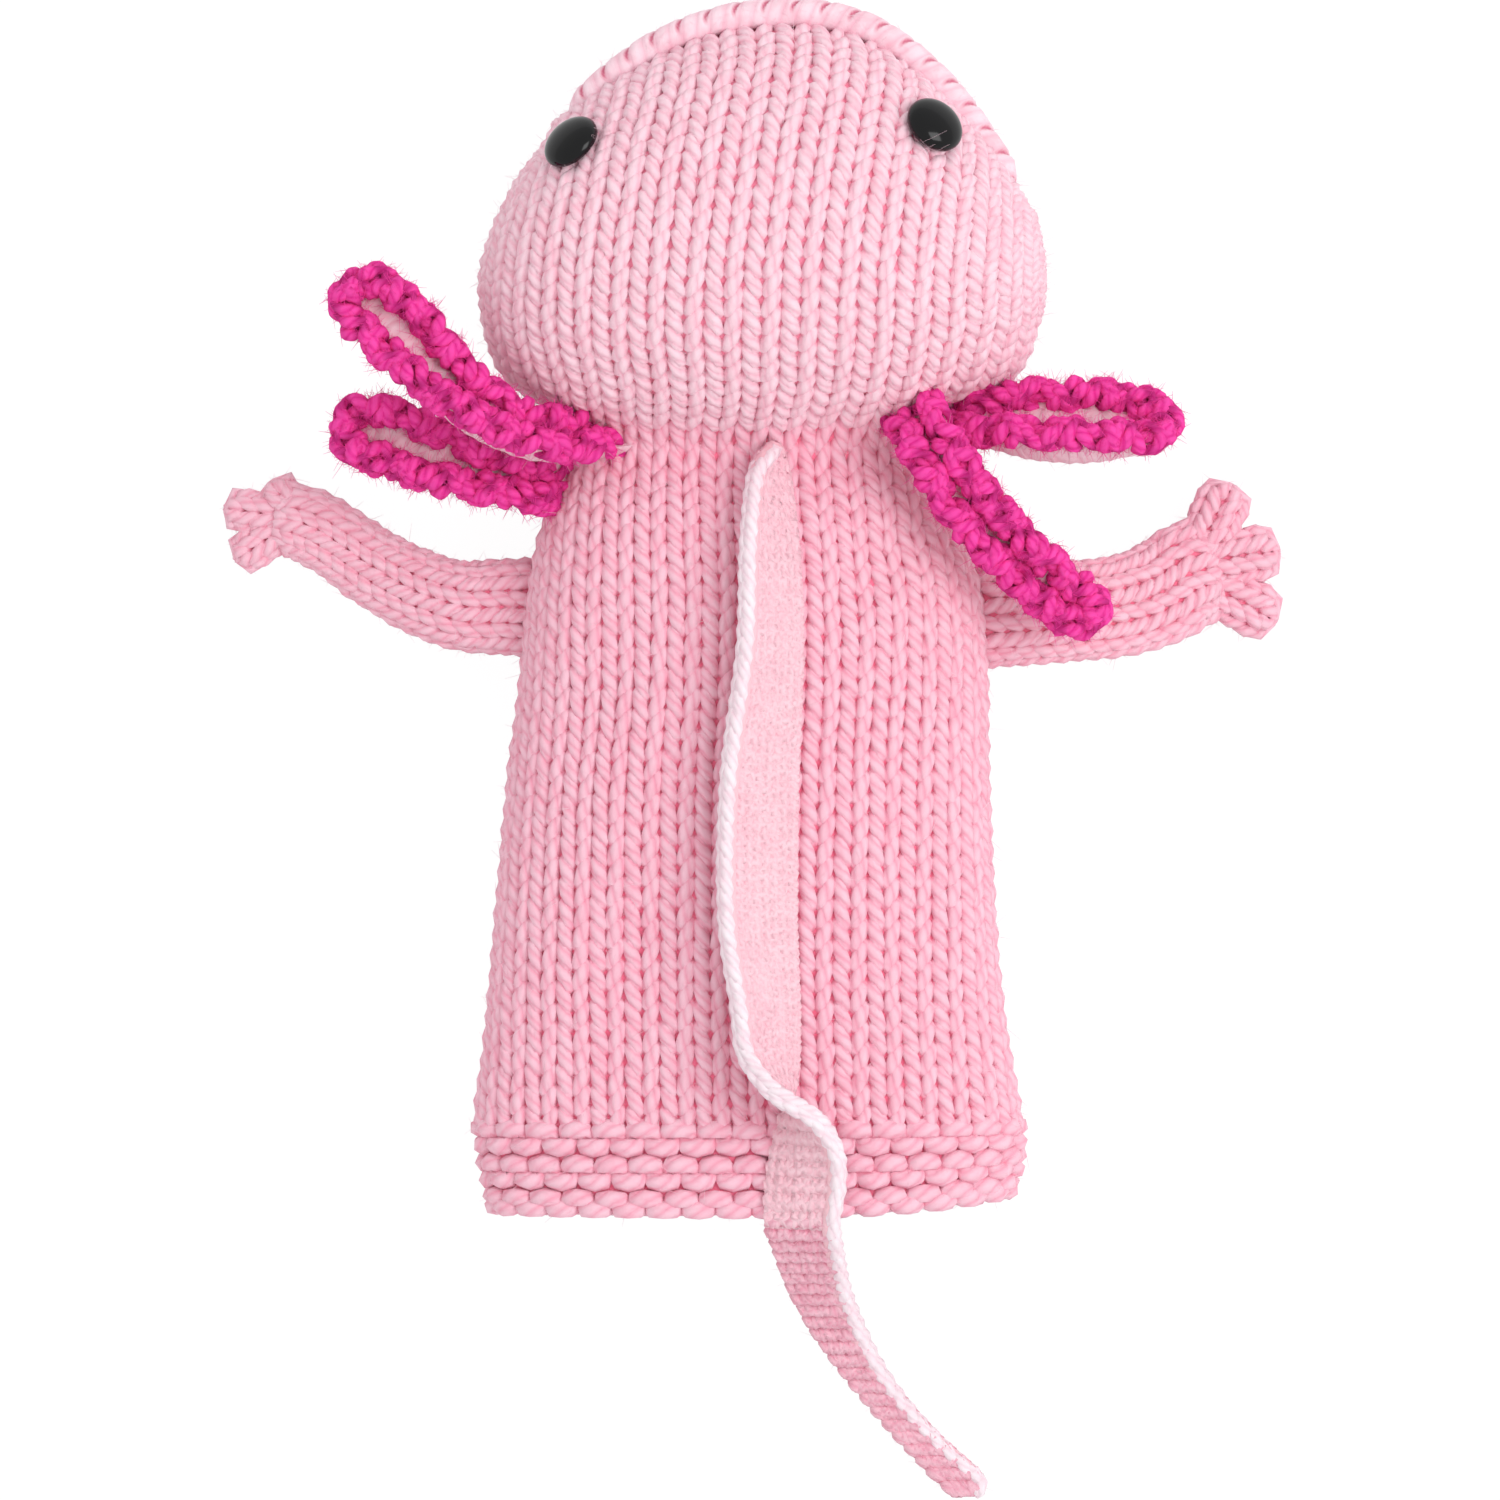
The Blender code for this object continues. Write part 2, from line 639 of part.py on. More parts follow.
def turned(name, profile, place, axis, where, ring=False):
    """A turned solid about an axis. profile holds (radius, height) pairs, top to bottom, and a ring's
    profile closes on itself."""
    mesh = bpy.data.meshes.new(name)
    points = [(r, 0, h) for r, h in profile]
    edges = [(i, i + 1) for i in range(len(points) - 1)]
    if ring:
        edges.append((len(points) - 1, 0))
    mesh.from_pydata(points, edges, [])
    obj = bpy.data.objects.new(name, mesh)
    where.objects.link(obj)
    screw = obj.modifiers.new("turn", "SCREW")
    screw.steps = screw.render_steps = TURN_STEPS
    screw.use_merge_vertices = True
    screw.merge_threshold = 0.01 * MM
    up = Vector(axis)
    obj.matrix_world = Matrix.Translation(Vector(place)) @ up.to_track_quat("Z", "Y").to_matrix().to_4x4()
    return obj


def eye_seat(where):
    """(point, outward direction) under the middle of an eye, clear of the skin's ridges."""
    place, out = skin_frame(*where)
    return place + out * EYE_CLEARANCE, out


def eye(side, where, parts):
    """A domed eye with its post, moulded in one."""
    place, out = eye_seat(where)
    radius, post = EYE_WIDTH / 2, EYE_POST / 2
    dome = []
    for k in range(DOME_STEPS + 1):
        angle = k / DOME_STEPS * math.pi / 2
        dome.append((radius * math.sin(angle), EYE_EDGE + (EYE_DOME - EYE_EDGE) * math.cos(angle)))
    profile = [*dome, (radius * 0.97, 0.0), (post, 0.0), (post, -EYE_POST_LENGTH), (0.0, -EYE_POST_LENGTH)]
    return turned(f"{side}_eye", profile, place, out, parts)


def eye_washer(side, where, parts):
    """The press-on washer that holds the eye from inside."""
    place, out = eye_seat(where)
    top = -(FABRIC + 2 * EYE_CLEARANCE)
    inner, outer = EYE_POST / 2 + EYE_CLEARANCE, WASHER_WIDTH / 2
    foot = top - WASHER_THICK
    profile = [(inner, top), (outer, top), (outer, foot), (inner, foot)]
    return turned(f"{side}_eye_washer", profile, place, out, parts, ring=True)


def post_hole(side, where, cutters):
    """The hole for an eye's post, with the flat that the washer presses behind it."""
    place, out = eye_seat(where)
    hole, flat = EYE_POST / 2 + EYE_CLEARANCE, WASHER_WIDTH / 2 + EYE_CLEARANCE
    behind = -(FABRIC + EYE_CLEARANCE)
    profile = [(0.0, FABRIC), (hole, FABRIC), (hole, behind), (flat, behind), (flat, 3 * behind)]
    return turned(f"{side}_post_hole", [*profile, (0.0, 3 * behind)], place, out, cutters)


def washer_room(side, where, cutters):
    """The hollow in the stuffing round a washer and the end of its post."""
    place, out = eye_seat(where)
    radius = WASHER_WIDTH / 2 + EYE_CLEARANCE
    foot = -(EYE_POST_LENGTH + EYE_CLEARANCE)
    profile = [(0.0, FABRIC), (radius, FABRIC), (radius, foot), (0.0, foot)]
    return turned(f"{side}_washer_room", profile, place, out, cutters)


def head_stuffing(parts, cutters, rooms):
    grid = inner_grid(FABRIC + STUFFING_GAP, STUFFING_FROM, STUFFING_TO)
    stuffing = loft("head_stuffing", grid, parts)
    line_y = np.array([-12, 0, POCKET_LENGTH / MM * 0.6, POCKET_LENGTH / MM * 0.88, POCKET_LENGTH / MM]) * MM
    foot = through(SECTIONS, np.array([STUFFING_FROM]))[0][0]
    line = np.stack([np.full(5, HEAD_LEAN), foot + line_y, np.full(5, POCKET_LIFT)], axis=1)
    side, up = rolled_frames(line, np.zeros(5))
    sizes = np.array([1.25, 1.0, 1.0, 0.86, 0.4])
    grid = tube_grid(line, side, up, POCKET_WIDTH * sizes, POCKET_HEIGHT * sizes, 12)
    pocket = loft("finger_pocket", grid, cutters)
    apply_boolean(stuffing, "DIFFERENCE", pocket, *rooms)
    return stuffing


def arm_root(side):
    turn, mirror = (0.0, 1) if side == "right" else (0.5, -1)
    place = ring_outline(ARM_RING, [turn])[0]
    return place, mirror


def arm_point(side, step):
    """A step of an arm in the puppet's frame: out and forwards from its root, height from the surface."""
    place, mirror = arm_root(side)
    return np.array([place[0] + mirror * step[0] * MM, place[1] + step[1] * MM, step[2] * MM])


def arm_tube(side, count, stations, shrink=0.0, last=None, ribs=0.0):
    steps = ARMS[side]
    at = np.linspace(0, len(steps) - 1 if last is None else last, stations)
    line = through([arm_point(side, s[0]) for s in steps], at)
    wide = through([s[1] * MM for s in steps], at) - 2 * shrink
    thick = through([s[2] * MM for s in steps], at) - 2 * shrink
    across, up = rolled_frames(line, np.zeros(stations))
    if last is None:
        wide = rounded_ends(wide, 0.16, (False, True))
        thick = rounded_ends(thick, 0.16, (False, True))
    return tube_grid(line, across, up, wide, thick, count, ribs)


def arm(side, parts, cutters, sewing_line, skin):
    outer = loft(f"{side}_arm", arm_tube(side, 2 * ARM_COLUMNS, 11, ribs=ARM_RIB), parts)
    fingers = []
    for number, (root, tip) in enumerate(FINGERS[side]):
        at = np.linspace(0, 1, 4)[:, None]
        line = arm_point(side, root) * (1 - at) + arm_point(side, tip) * at
        across, up = rolled_frames(line, np.zeros(4))
        wide = rounded_ends(np.full(4, FINGER_WIDTH), 0.35)
        fingers.append(
            loft(f"{side}_finger_{number}", tube_grid(line, across, up, wide, wide * 0.94, 6), cutters)
        )
    apply_boolean(outer, "UNION", *fingers)
    hollow = loft(f"{side}_arm_hollow", arm_tube(side, 10, 7, ARM_FABRIC, last=ARM_HOLLOW_END), cutters)
    apply_boolean(outer, "DIFFERENCE", hollow, sewing_line)
    apply_boolean(skin, "DIFFERENCE", hollow)
    return outer


def gill_line(name, stations):
    """Points along the middle of a gill's edging, its two directions, its whole width and the depth of
    its leaf."""
    where, steps = GILLS[name]
    root, _ = skin_frame(*where)
    at = np.linspace(0, len(steps) - 1, stations)
    line = root + through([np.array(s[0]) * MM for s in steps], at)
    wide, deep = through([s[1] * MM for s in steps], at), through([s[2] * MM for s in steps], at)
    across, up = rolled_frames(line, through([s[3] * DEGREE for s in steps], at))
    return line, across, up, wide, deep


def gill_leaf(name, parts, sewing_line):
    """The leaf: a strip that hangs as a trough between the two sides of its edging."""
    line, across, up, wide, deep = gill_line(name, 10)
    arc = np.linspace(-math.pi / 2, math.pi / 2, 5)
    half = (wide - GILL_ROPE) / 2
    outer_half, inner_half = half + LEAF_THICK / 2, half - LEAF_THICK / 2
    lip = GILL_ROPE / 2 + SEWN_GAP
    rows = []
    for k in range(len(line)):
        outer = [(outer_half[k] * math.sin(t), -lip - deep[k] * math.cos(t)) for t in arc]
        hollow = max(deep[k] - LEAF_THICK, 0.1 * MM)
        inner = [(inner_half[k] * math.sin(t), -lip - hollow * math.cos(t)) for t in arc[::-1]]
        rows.append([line[k] + across[k] * x + up[k] * z for x, z in outer + inner])
    grid = np.array(rows)
    rings, count = grid.shape[:2]
    faces = rows_of_faces(rings, count)
    for first in (0, (rings - 1) * count):
        faces += [(first + j, first + j + 1, first + count - 2 - j, first + count - 1 - j) for j in range(4)]
    leaf = add_mesh(f"{name}_gill_leaf", grid.reshape(-1, 3), faces, parts)
    apply_boolean(leaf, "DIFFERENCE", sewing_line)
    return leaf


def gill_edging(name, parts, sewing_line):
    """The crocheted edging: a rope up one edge of the leaf, round its tip and back down the other."""
    line, across, _, wide, _ = gill_line(name, 40)
    half = (wide - GILL_ROPE) / 2
    ahead = unit(np.gradient(line, axis=0))
    tip_from = len(line) - 1
    turn = np.linspace(0, math.pi, 9)[1:-1]
    one = line + across * half[:, None]
    other = line - across * half[:, None]
    tip = np.array([line[-1] + half[-1] * (across[-1] * math.cos(a) + ahead[-1] * math.sin(a)) for a in turn])
    path = np.concatenate([one[:tip_from], tip, other[:tip_from][::-1]])
    along = np.concatenate([[0], np.cumsum(np.linalg.norm(np.diff(path, axis=0), axis=1))])
    stitches = round(along[-1] / GILL_STITCH)
    at = np.linspace(0, along[-1], 2 * stitches + 1)
    path = np.stack([np.interp(at, along, path[:, k]) for k in range(3)], axis=1)
    shares = np.where(np.arange(len(path)) % 2 == 0, 1 - GILL_BUMP, 1.0)
    rope = rope_along(f"{name}_gill_edging", path, GILL_ROPE / 2, shares, parts)
    apply_boolean(rope, "DIFFERENCE", sewing_line)
    return rope


def fin_rows(stations):
    """Foot, free edge and lean of the fin and tail at evenly spaced stations."""
    feet, edges = [], []
    for ring, right, depth, lean in FIN_ON_SKIN:
        foot = spine_point(ring, right * MM)
        lean_way = np.array([math.sin(lean * DEGREE), 0.0, math.cos(lean * DEGREE)])
        feet.append(foot - lean_way * FIN_SINK)
        edges.append(foot + lean_way * depth * MM)
    hem = SECTIONS[0, 0]
    for (right, back, height), wide, lean in TAIL_STEPS:
        foot = np.array([right * MM, hem - back * MM, height * MM])
        lean_way = np.array([math.sin(lean * DEGREE), 0.0, math.cos(lean * DEGREE)])
        feet.append(foot)
        edges.append(foot + lean_way * wide * MM)
    at = np.linspace(0, len(feet) - 1, stations)
    return through(feet, at), through(edges, at)


def fin_and_tail(parts, sewing_line):
    stations = 38
    feet, edges = fin_rows(stations)
    ahead = unit(np.gradient((feet + edges) / 2, axis=0))
    up = unit(edges - feet)
    face = unit(np.cross(ahead, up))
    rib = np.where(np.arange(stations) % 2 == 0, 0.0, FIN_RIB)
    thick = rounded_ends(np.full(stations, FIN_THICK), 0.03) - 2 * rib
    rim = rounded_ends(np.full(stations, FIN_RIM), 0.03)
    foot_half, rim_half = (thick / 2)[:, None], (rim / 2)[:, None]
    shoulder = edges - up * rim_half * 2.9
    bulge = edges - up * rim_half
    lip = face * rim_half * 0.6
    grid = np.stack(
        [
            edges + lip,
            bulge + face * rim_half,
            shoulder + face * foot_half,
            feet + face * foot_half,
            feet - face * foot_half,
            shoulder - face * foot_half,
            bulge - face * rim_half,
            edges - lip,
        ],
        axis=1,
    )
    grid[..., 2] = np.maximum(grid[..., 2], 0.0)
    rings, count = grid.shape[:2]
    faces = rows_of_faces(rings, count)
    faces.append(tuple(range(count)))
    faces.append(tuple((rings - 1) * count + j for j in range(count)))
    strip = add_mesh("fin_and_tail", grid.reshape(-1, 3), faces, parts)
    apply_boolean(strip, "DIFFERENCE", sewing_line)
    return strip


def build():
    clear_scene()
    parts = collection("axolotl_hand_puppet")
    cutters = collection("cutters", hidden=True)
    pink = material("pink_knit", PINK, 0.9)
    pale = material("pale_pink_knit", PALE_PINK, 0.9)
    magenta = material("magenta_crochet", MAGENTA, 0.9)
    black = material("black_eye_plastic", BLACK, 0.12)
    washer_plastic = material("washer_plastic", WASHER_WHITE, 0.5)
    filling = material("fibre_filling", FILLING, 1.0)

    sewing_line = grown_skin(cutters)
    skin = knitted_skin(parts, cutters)
    eyes = {"left": LEFT_EYE, "right": RIGHT_EYE}
    rooms = []
    for side, where in eyes.items():
        paint(made_mesh(eye(side, where, parts)), black)
        paint(made_mesh(eye_washer(side, where, parts)), washer_plastic)
        apply_boolean(skin, "DIFFERENCE", made_mesh(post_hole(side, where, cutters)))
        rooms.append(made_mesh(washer_room(side, where, cutters)))
    paint(head_stuffing(parts, cutters, rooms), filling)
    paint(crown_seam(parts), pale)
    for side in ARMS:
        paint(arm(side, parts, cutters, sewing_line, skin), pink)
    for name in GILLS:
        paint(gill_leaf(name, parts, sewing_line), pale)
        paint(gill_edging(name, parts, sewing_line), magenta)
    paint(fin_and_tail(parts, sewing_line), pale)
    paint(skin, pink)
    for obj in cutters.objects:
        obj.hide_render = True
        obj.display_type = "WIRE"


build()
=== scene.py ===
# A hand-knitted axolotl glove puppet, laid on its belly on a white table and seen from above.
#
# All its fabric is made of its yarn: a function works out the line that the yarn takes through each
# row of stitches, and a Geometry Nodes tree spins a strand of yarn along that line.
# Metres, in the frame of the CAD model: +Y from the tail to the head, +Z up.

import math

import bmesh
import bpy
import numpy as np
from mathutils import Matrix, Vector


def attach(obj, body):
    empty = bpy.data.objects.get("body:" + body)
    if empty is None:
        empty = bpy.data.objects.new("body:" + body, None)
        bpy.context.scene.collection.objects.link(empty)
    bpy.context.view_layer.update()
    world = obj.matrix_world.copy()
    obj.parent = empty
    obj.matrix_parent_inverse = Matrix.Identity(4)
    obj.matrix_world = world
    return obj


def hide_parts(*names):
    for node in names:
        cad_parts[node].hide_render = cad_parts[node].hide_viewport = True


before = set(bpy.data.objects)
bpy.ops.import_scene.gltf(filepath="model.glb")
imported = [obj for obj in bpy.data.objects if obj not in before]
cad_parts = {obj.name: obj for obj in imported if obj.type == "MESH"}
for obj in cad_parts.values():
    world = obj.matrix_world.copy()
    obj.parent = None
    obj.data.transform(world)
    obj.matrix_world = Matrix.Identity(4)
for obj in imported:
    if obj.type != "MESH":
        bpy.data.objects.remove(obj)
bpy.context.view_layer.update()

MM = 0.001
DEGREE = math.pi / 180
UP = np.array([0.0, 0.0, 1.0])
SEED = 7

# Yarn and stitches
YARN = 2.8 * MM  # thickness of the body's yarn where it lies in a stitch
FINE_YARN = 2.3 * MM  # the fin's and the gill leaves' yarn, pulled tighter
CROCHET_YARN = 2.9 * MM
YARN_SIDES = 6
STITCH_POINTS = 12  # points of the yarn's line in one stitch
LOOP_BULGE = 0.235  # how far a loop bulges sideways, as a share of its column
LOOP_RISE = 0.93  # half the height of a loop, in courses
LOOP_DEPTH = 0.72 * MM  # how far the yarn weaves in and out of the fabric's middle
OVERHANG = 0.3  # how far a loop may reach past a fabric's end, in quarters of a course
HEM_START = 1.5  # how far inside the skin's edge its first loops end, in quarters of a course
COURSE = 3.78 * MM  # height of a row of stitches
HEM_COURSES = 6
GARTER_RIDGE = 0.4 * MM  # how far the hem's purl rows stand out
GARTER_YARN = 3.5 * MM  # thickness of their yarn, which nothing pulls tight
GARTER_RISE = 0.52  # half the height of their loops, so that heads and feet lie as bricks do
CAST_ON_AT = 0.55  # course that the cast-on edge lies at
CAST_ON_SET = 1.5 * MM  # how far it lies back from the ridges
COLUMNS = 36  # columns of stitches round the skin
COLUMN_AT = (0, 7, 9, 11, 15, 16)  # rings of the skin, and the width of a column on the spine there
COLUMN_WIDTHS = (6.3 * MM, 6.3 * MM, 5.9 * MM, 6.84 * MM, 6.84 * MM, 6.6 * MM)
ARM_COURSE = 3.2 * MM
ARM_COLUMNS = 8
FINGER_COLUMNS = 4
FIN_ROW = 1.56 * MM
RIM_STITCH = 3.2 * MM
SEAM_STITCH = 5.2 * MM
SEAM_PIT = 0.75 * MM  # depth of the slanted pit between two stitches of the crown seam
CROCHET_STITCH = 6.3 * MM
ROOT_SINK = 4.5 * MM  # how far the edging's ends are drawn into the skin
ROOT_RUN = 6.0 * MM  # how far along them that fades
CROCHET_STRANDS = 6
CROCHET_KNOB = 0.13  # share by which a crocheted stitch stands out of the edging
BAND_ENDS = (1, 1.72, 2.4)  # thirds of the courses above the hem at which a band of the skin ends

# Sheets in the yarn's shade: how far each lies under its fabric's face, and its thickness
SHADE_ROWS, SHADE_COLUMNS = 90, 96
SHADE_SHEETS = {
    "skin": (1.75 * MM, 0.8 * MM),
    "arm": (1.8 * MM, 0.6 * MM),
    "finger": (1.9 * MM, 0.5 * MM),
}

# Fibres that stand out of a piece: how many, how long, how thick and how steep. Real ones are finer:
# these are as coarse as they need to be to show.
FUZZ = {
    "skin": (3400, 2.8 * MM, 0.10 * MM, 0.5),
    "arm": (1300, 2.6 * MM, 0.10 * MM, 0.5),
    "seam": (900, 2.4 * MM, 0.07 * MM, 0.5),
    "leaf": (700, 2.2 * MM, 0.07 * MM, 0.5),
    "edging": (4600, 2.1 * MM, 0.13 * MM, 1.1),
    "fin": (1800, 2.2 * MM, 0.07 * MM, 0.5),
    "tail": (500, 2.2 * MM, 0.07 * MM, 0.5),
}

# The skin's form, as in the CAD model
HEM_WIDTH = 97.5 * MM
HEM_HEIGHT = 31.0 * MM
HEM_BAND = 19.0 * MM
SLEEVE_LENGTH = 111.0 * MM
SLEEVE_BEHIND = 65.3 * MM
WAIST_WIDTH = 87.0 * MM
WAIST_HEIGHT = 39.0 * MM
SHOULDER_WIDTH = 82.0 * MM
SHOULDER_HEIGHT = 42.0 * MM
NECK_WIDTH = 63.0 * MM
NECK_HEIGHT = 35.0 * MM
NECK_LENGTH = 26.0 * MM
HEAD_WIDTH = 101.0 * MM
HEAD_HEIGHT = 61.5 * MM
HEAD_LENGTH = 76.0 * MM
HEAD_LEAN = 2.4 * MM
CROWN_WIDTH = 78.0 * MM
CROWN_LEAN = 4.9 * MM
CROWN_THICK = 7.0 * MM
CROWN_HEIGHT = 34.5 * MM
CROWN_DROP_LEFT = 18.5 * MM
CROWN_DROP_RIGHT = 31.5 * MM
BELLY_PRESS = 0.8 * MM
SEAM_ROLL = 5.2 * MM
SEAM_LIFT = 2.2 * MM  # how far the roll's middle lies above the crown's edge
SEAM_OVER = 1.5 * MM  # how far it lies over that edge
SEAM_ENDS = (0.035, 0.03)  # shares of a turn by which it stops short of the left and right sides

EYE_WIDTH = 10.8 * MM
EYE_DOME = 3.4 * MM
EYE_RIM = 0.6 * MM  # height of the dome's upright edge
EYE_CLEARANCE = 0.3 * MM
EYE_STEPS = 64
EYE_FIBRES = 3
EYE_FIBRE_POINTS = 21
EYES = {"right": (13.75, 0.165), "left": (13.45, 0.389)}  # ring of the skin and share of a turn

# Arms: steps along each, as place from its root in mm, width and thickness. Fingers: root and tip
ARM_RING = 6.9
ARM_START = 0.62  # step that the knitting starts from
ARM_CLOSE = 0.08  # share of an arm's length in which its end closes
FINGER_CLOSE = 0.24
FINGER_FLAT = 0.82  # a finger's thickness, as a share of its width
FINGER_ROOT = 0.85  # its width at the root, as a share of its full width
FINGER_SWELL = 0.45  # share of its length in which it reaches that
FINGER_WIDTHS = {"left": 8.8 * MM, "right": 11.0 * MM}
ARMS = {
    "left": (
        ((-9.0, -1.0, 15.6), 19.0, 13.6),
        ((2.5, -0.6, 14.8), 18.4, 13.2),
        ((11.0, -0.4, 13.4), 17.0, 12.6),
        ((19.5, 2.4, 10.8), 16.0, 11.4),
        ((27.5, 6.8, 8.2), 15.2, 10.5),
        ((34.0, 11.4, 7.0), 14.6, 10.0),
        ((40.0, 14.6, 6.4), 14.6, 9.5),
        ((46.5, 15.6, 6.0), 13.0, 9.0),
    ),
    "right": (
        ((-9.0, -2.4, 15.6), 20.0, 14.0),
        ((4.0, -2.0, 14.8), 19.6, 13.6),
        ((15.0, -1.4, 13.0), 19.0, 12.8),
        ((25.0, -0.2, 10.5), 19.4, 11.5),
        ((32.0, 2.2, 8.6), 20.0, 11.0),
        ((37.5, 5.6, 7.6), 20.5, 10.5),
        ((43.5, 7.0, 7.0), 20.0, 9.5),
    ),
}
FINGERS = {
    "left": (
        ((41.0, 15.5, 6.4), (46.0, 22.6, 6.0)),
        ((42.0, 15.6, 6.2), (54.6, 17.4, 5.0)),
        ((42.0, 14.6, 6.0), (52.6, 7.6, 4.6)),
    ),
    "right": (
        ((38.0, 8.6, 7.4), (44.8, 22.0, 6.6)),
        ((38.5, 7.4, 7.0), (53.6, 9.8, 6.0)),
        ((38.5, 4.4, 6.8), (53.0, -3.4, 5.4)),
    ),
}

# Gills: root on the skin, as ring and share of a turn, and steps along it, as place from the root in mm,
# width, depth and roll in degrees
GILL_ROPE = 5.4 * MM
LEAF_THICK = 2.2 * MM
LEAF_ROW = 2.9 * MM
LEAF_LIP = 0.4 * MM  # how far the leaf's edges lie below the middle of the edging
LEAF_FACE = 0.9 * MM  # how far its face sags between the two sides of the edging
GILLS = {
    "left_upper": (
        (9.2, 0.385),
        (
            ((3.5, 0.5, -2.0), 10.8, 2.6, 40),
            ((-4.5, -0.6, 4.0), 10.8, 3.0, 40),
            ((-12.5, 0.0, 8.5), 10.8, 4.5, 38),
            ((-21.3, 4.3, 11.5), 11.2, 6.0, 34),
            ((-29.2, 10.4, 12.5), 12.8, 6.5, 20),
            ((-35.0, 16.4, 12.5), 14.2, 6.0, 8),
            ((-41.5, 22.4, 12.0), 14.0, 4.5, 5),
        ),
    ),
    "left_lower": (
        (8.5, 0.45),
        (
            ((3.0, 0.0, -1.6), 11.0, 2.6, 10),
            ((-5.0, -1.1, 2.0), 11.0, 3.5, 10),
            ((-13.0, 0.6, 4.0), 11.6, 5.0, 8),
            ((-22.0, 3.1, 4.4), 13.0, 5.5, 6),
            ((-29.2, 5.9, 4.0), 14.0, 5.5, 4),
            ((-36.0, 8.2, 3.0), 13.8, 4.0, 0),
        ),
    ),
    "right_upper": (
        (9.4, 0.07),
        (
            ((-3.5, 0.7, -2.0), 11.0, 2.6, -30),
            ((5.5, 0.2, 4.0), 12.0, 4.0, -40),
            ((13.5, 0.4, 7.0), 14.6, 6.5, -46),
            ((22.5, 0.2, 8.0), 15.6, 7.5, -46),
            ((30.5, 0.0, 7.5), 15.2, 7.0, -44),
            ((36.0, -0.8, 7.0), 13.4, 5.0, -40),
        ),
    ),
    "right_lower": (
        (9.45, 0.15),
        (
            ((2.5, 4.0, -3.0), 11.2, 2.4, 0),
            ((5.5, 0.0, 6.0), 11.4, 2.6, 0),
            ((10.5, -9.0, 8.0), 11.6, 3.5, 0),
            ((16.3, -17.0, 6.5), 11.6, 4.0, 0),
            ((22.3, -23.4, 4.0), 11.4, 4.0, 0),
            ((29.0, -29.4, 1.0), 11.4, 4.0, 0),
            ((34.1, -33.4, -1.0), 11.2, 3.0, 0),
        ),
    ),
}

# Fin: ring, place right of the middle in mm, depth, and lean in degrees. Tail: foot, depth and lean
FIN_ON_SKIN = (
    (9.0, 5.0, 4.0, -30),
    (8.6, 6.6, 9.6, -44),
    (7.6, 8.2, 12.6, -50),
    (6.4, 9.0, 14.0, -52),
    (5.0, 8.2, 15.4, -60),
    (4.3, 8.0, 15.4, -62),
    (3.6, 8.4, 14.6, -52),
    (3.0, 8.4, 14.6, -44),
    (2.4, 7.4, 14.6, -14),
    (1.9, 6.0, 15.0, 24),
    (1.3, 4.0, 15.4, 54),
    (0.6, 2.9, 15.4, 66),
)
TAIL_STEPS = (
    ((3.0, 1.0, 29.5), 14.0, 70),
    ((4.8, 6.4, 24.0), 12.6, 74),
    ((7.4, 13.0, 16.5), 11.0, 78),
    ((10.9, 19.6, 10.6), 9.8, 80),
    ((15.9, 27.0, 6.6), 8.4, 82),
    ((22.0, 34.6, 4.4), 7.8, 84),
    ((28.0, 41.4, 3.6), 8.2, 86),
    ((33.0, 46.8, 3.4), 9.2, 88),
    ((36.2, 50.0, 3.4), 6.6, 88),
)
FIN_RIM = 4.6 * MM
FIN_DEPTH = 0.25 * MM  # how far the yarn weaves in and out on the fin, where its face is nearly smooth

# Soft hollows of the sleeve: place (x, y), length and width in mm, turn in degrees, depth
HOLLOWS = (
    ((-20.0, -20.0), 20.0, 8.0, 75, 2.2 * MM),
    ((-26.0, 30.0), 18.0, 7.0, 60, 1.2 * MM),
    ((22.0, 48.0), 14.0, 4.0, 50, 1.6 * MM),
    ((30.0, 0.0), 26.0, 6.0, 95, 1.0 * MM),
)
NECK_PUCKER = 0.55 * MM

# Camera and light
PIXEL = 0.18 * MM  # size on the table of one pixel of the photograph
PICTURE = 1500
CAMERA_AT = (0.0, 18.0 * MM, 2.6)
SENSOR = 36
SKY_LIGHT = 0.85
KEY_AT, KEY_AIM = (1.0, 0.2, 1.5), (0.0, 0.03, 0.0)
KEY_SIZE, KEY_POWER = 1.0, 12.5
TABLE = 3.0  # half its width
TABLE_WHITE = 0.9
TABLE_GLOW = 1.06  # how bright the camera sees it


# Lines and directions


def through(values, at):
    """The smooth curve through values, which lie at 0, 1, 2 and so on, read at the places in at."""
    values = np.asarray(values, float)
    at = np.clip(np.asarray(at, float), 0, len(values) - 1)
    slopes = np.gradient(values, axis=0)
    low = np.minimum(at.astype(int), len(values) - 2)
    f = (at - low).reshape(at.shape + (1,) * (values.ndim - 1))
    a, b, da, db = values[low], values[low + 1], slopes[low], slopes[low + 1]
    return (
        (2 * f**3 - 3 * f**2 + 1) * a
        + (f**3 - 2 * f**2 + f) * da
        + (3 * f**2 - 2 * f**3) * b
        + (f**3 - f**2) * db
    )


def unit(vectors):
    return vectors / np.maximum(np.linalg.norm(vectors, axis=-1, keepdims=True), 1e-12)


def lengths(line):
    """Distance along a line from its start to each of its points."""
    return np.concatenate([[0], np.cumsum(np.linalg.norm(np.diff(line, axis=0), axis=1))])


def read_line(line, places, at):
    """The values of line, which lie at places, read in between."""
    return np.stack([np.interp(at, places, line[:, k]) for k in range(line.shape[1])], axis=1)


def rolled_frames(line, roll):
    """Directions across and out of the face of a strip along a line, rolled from facing up."""
    ahead = unit(np.gradient(line, axis=0))
    flat_side = unit(np.cross(ahead, UP))
    flat_up = np.cross(flat_side, ahead)
    c, s = np.cos(roll)[:, None], np.sin(roll)[:, None]
    return flat_side * c - flat_up * s, flat_up * c + flat_side * s


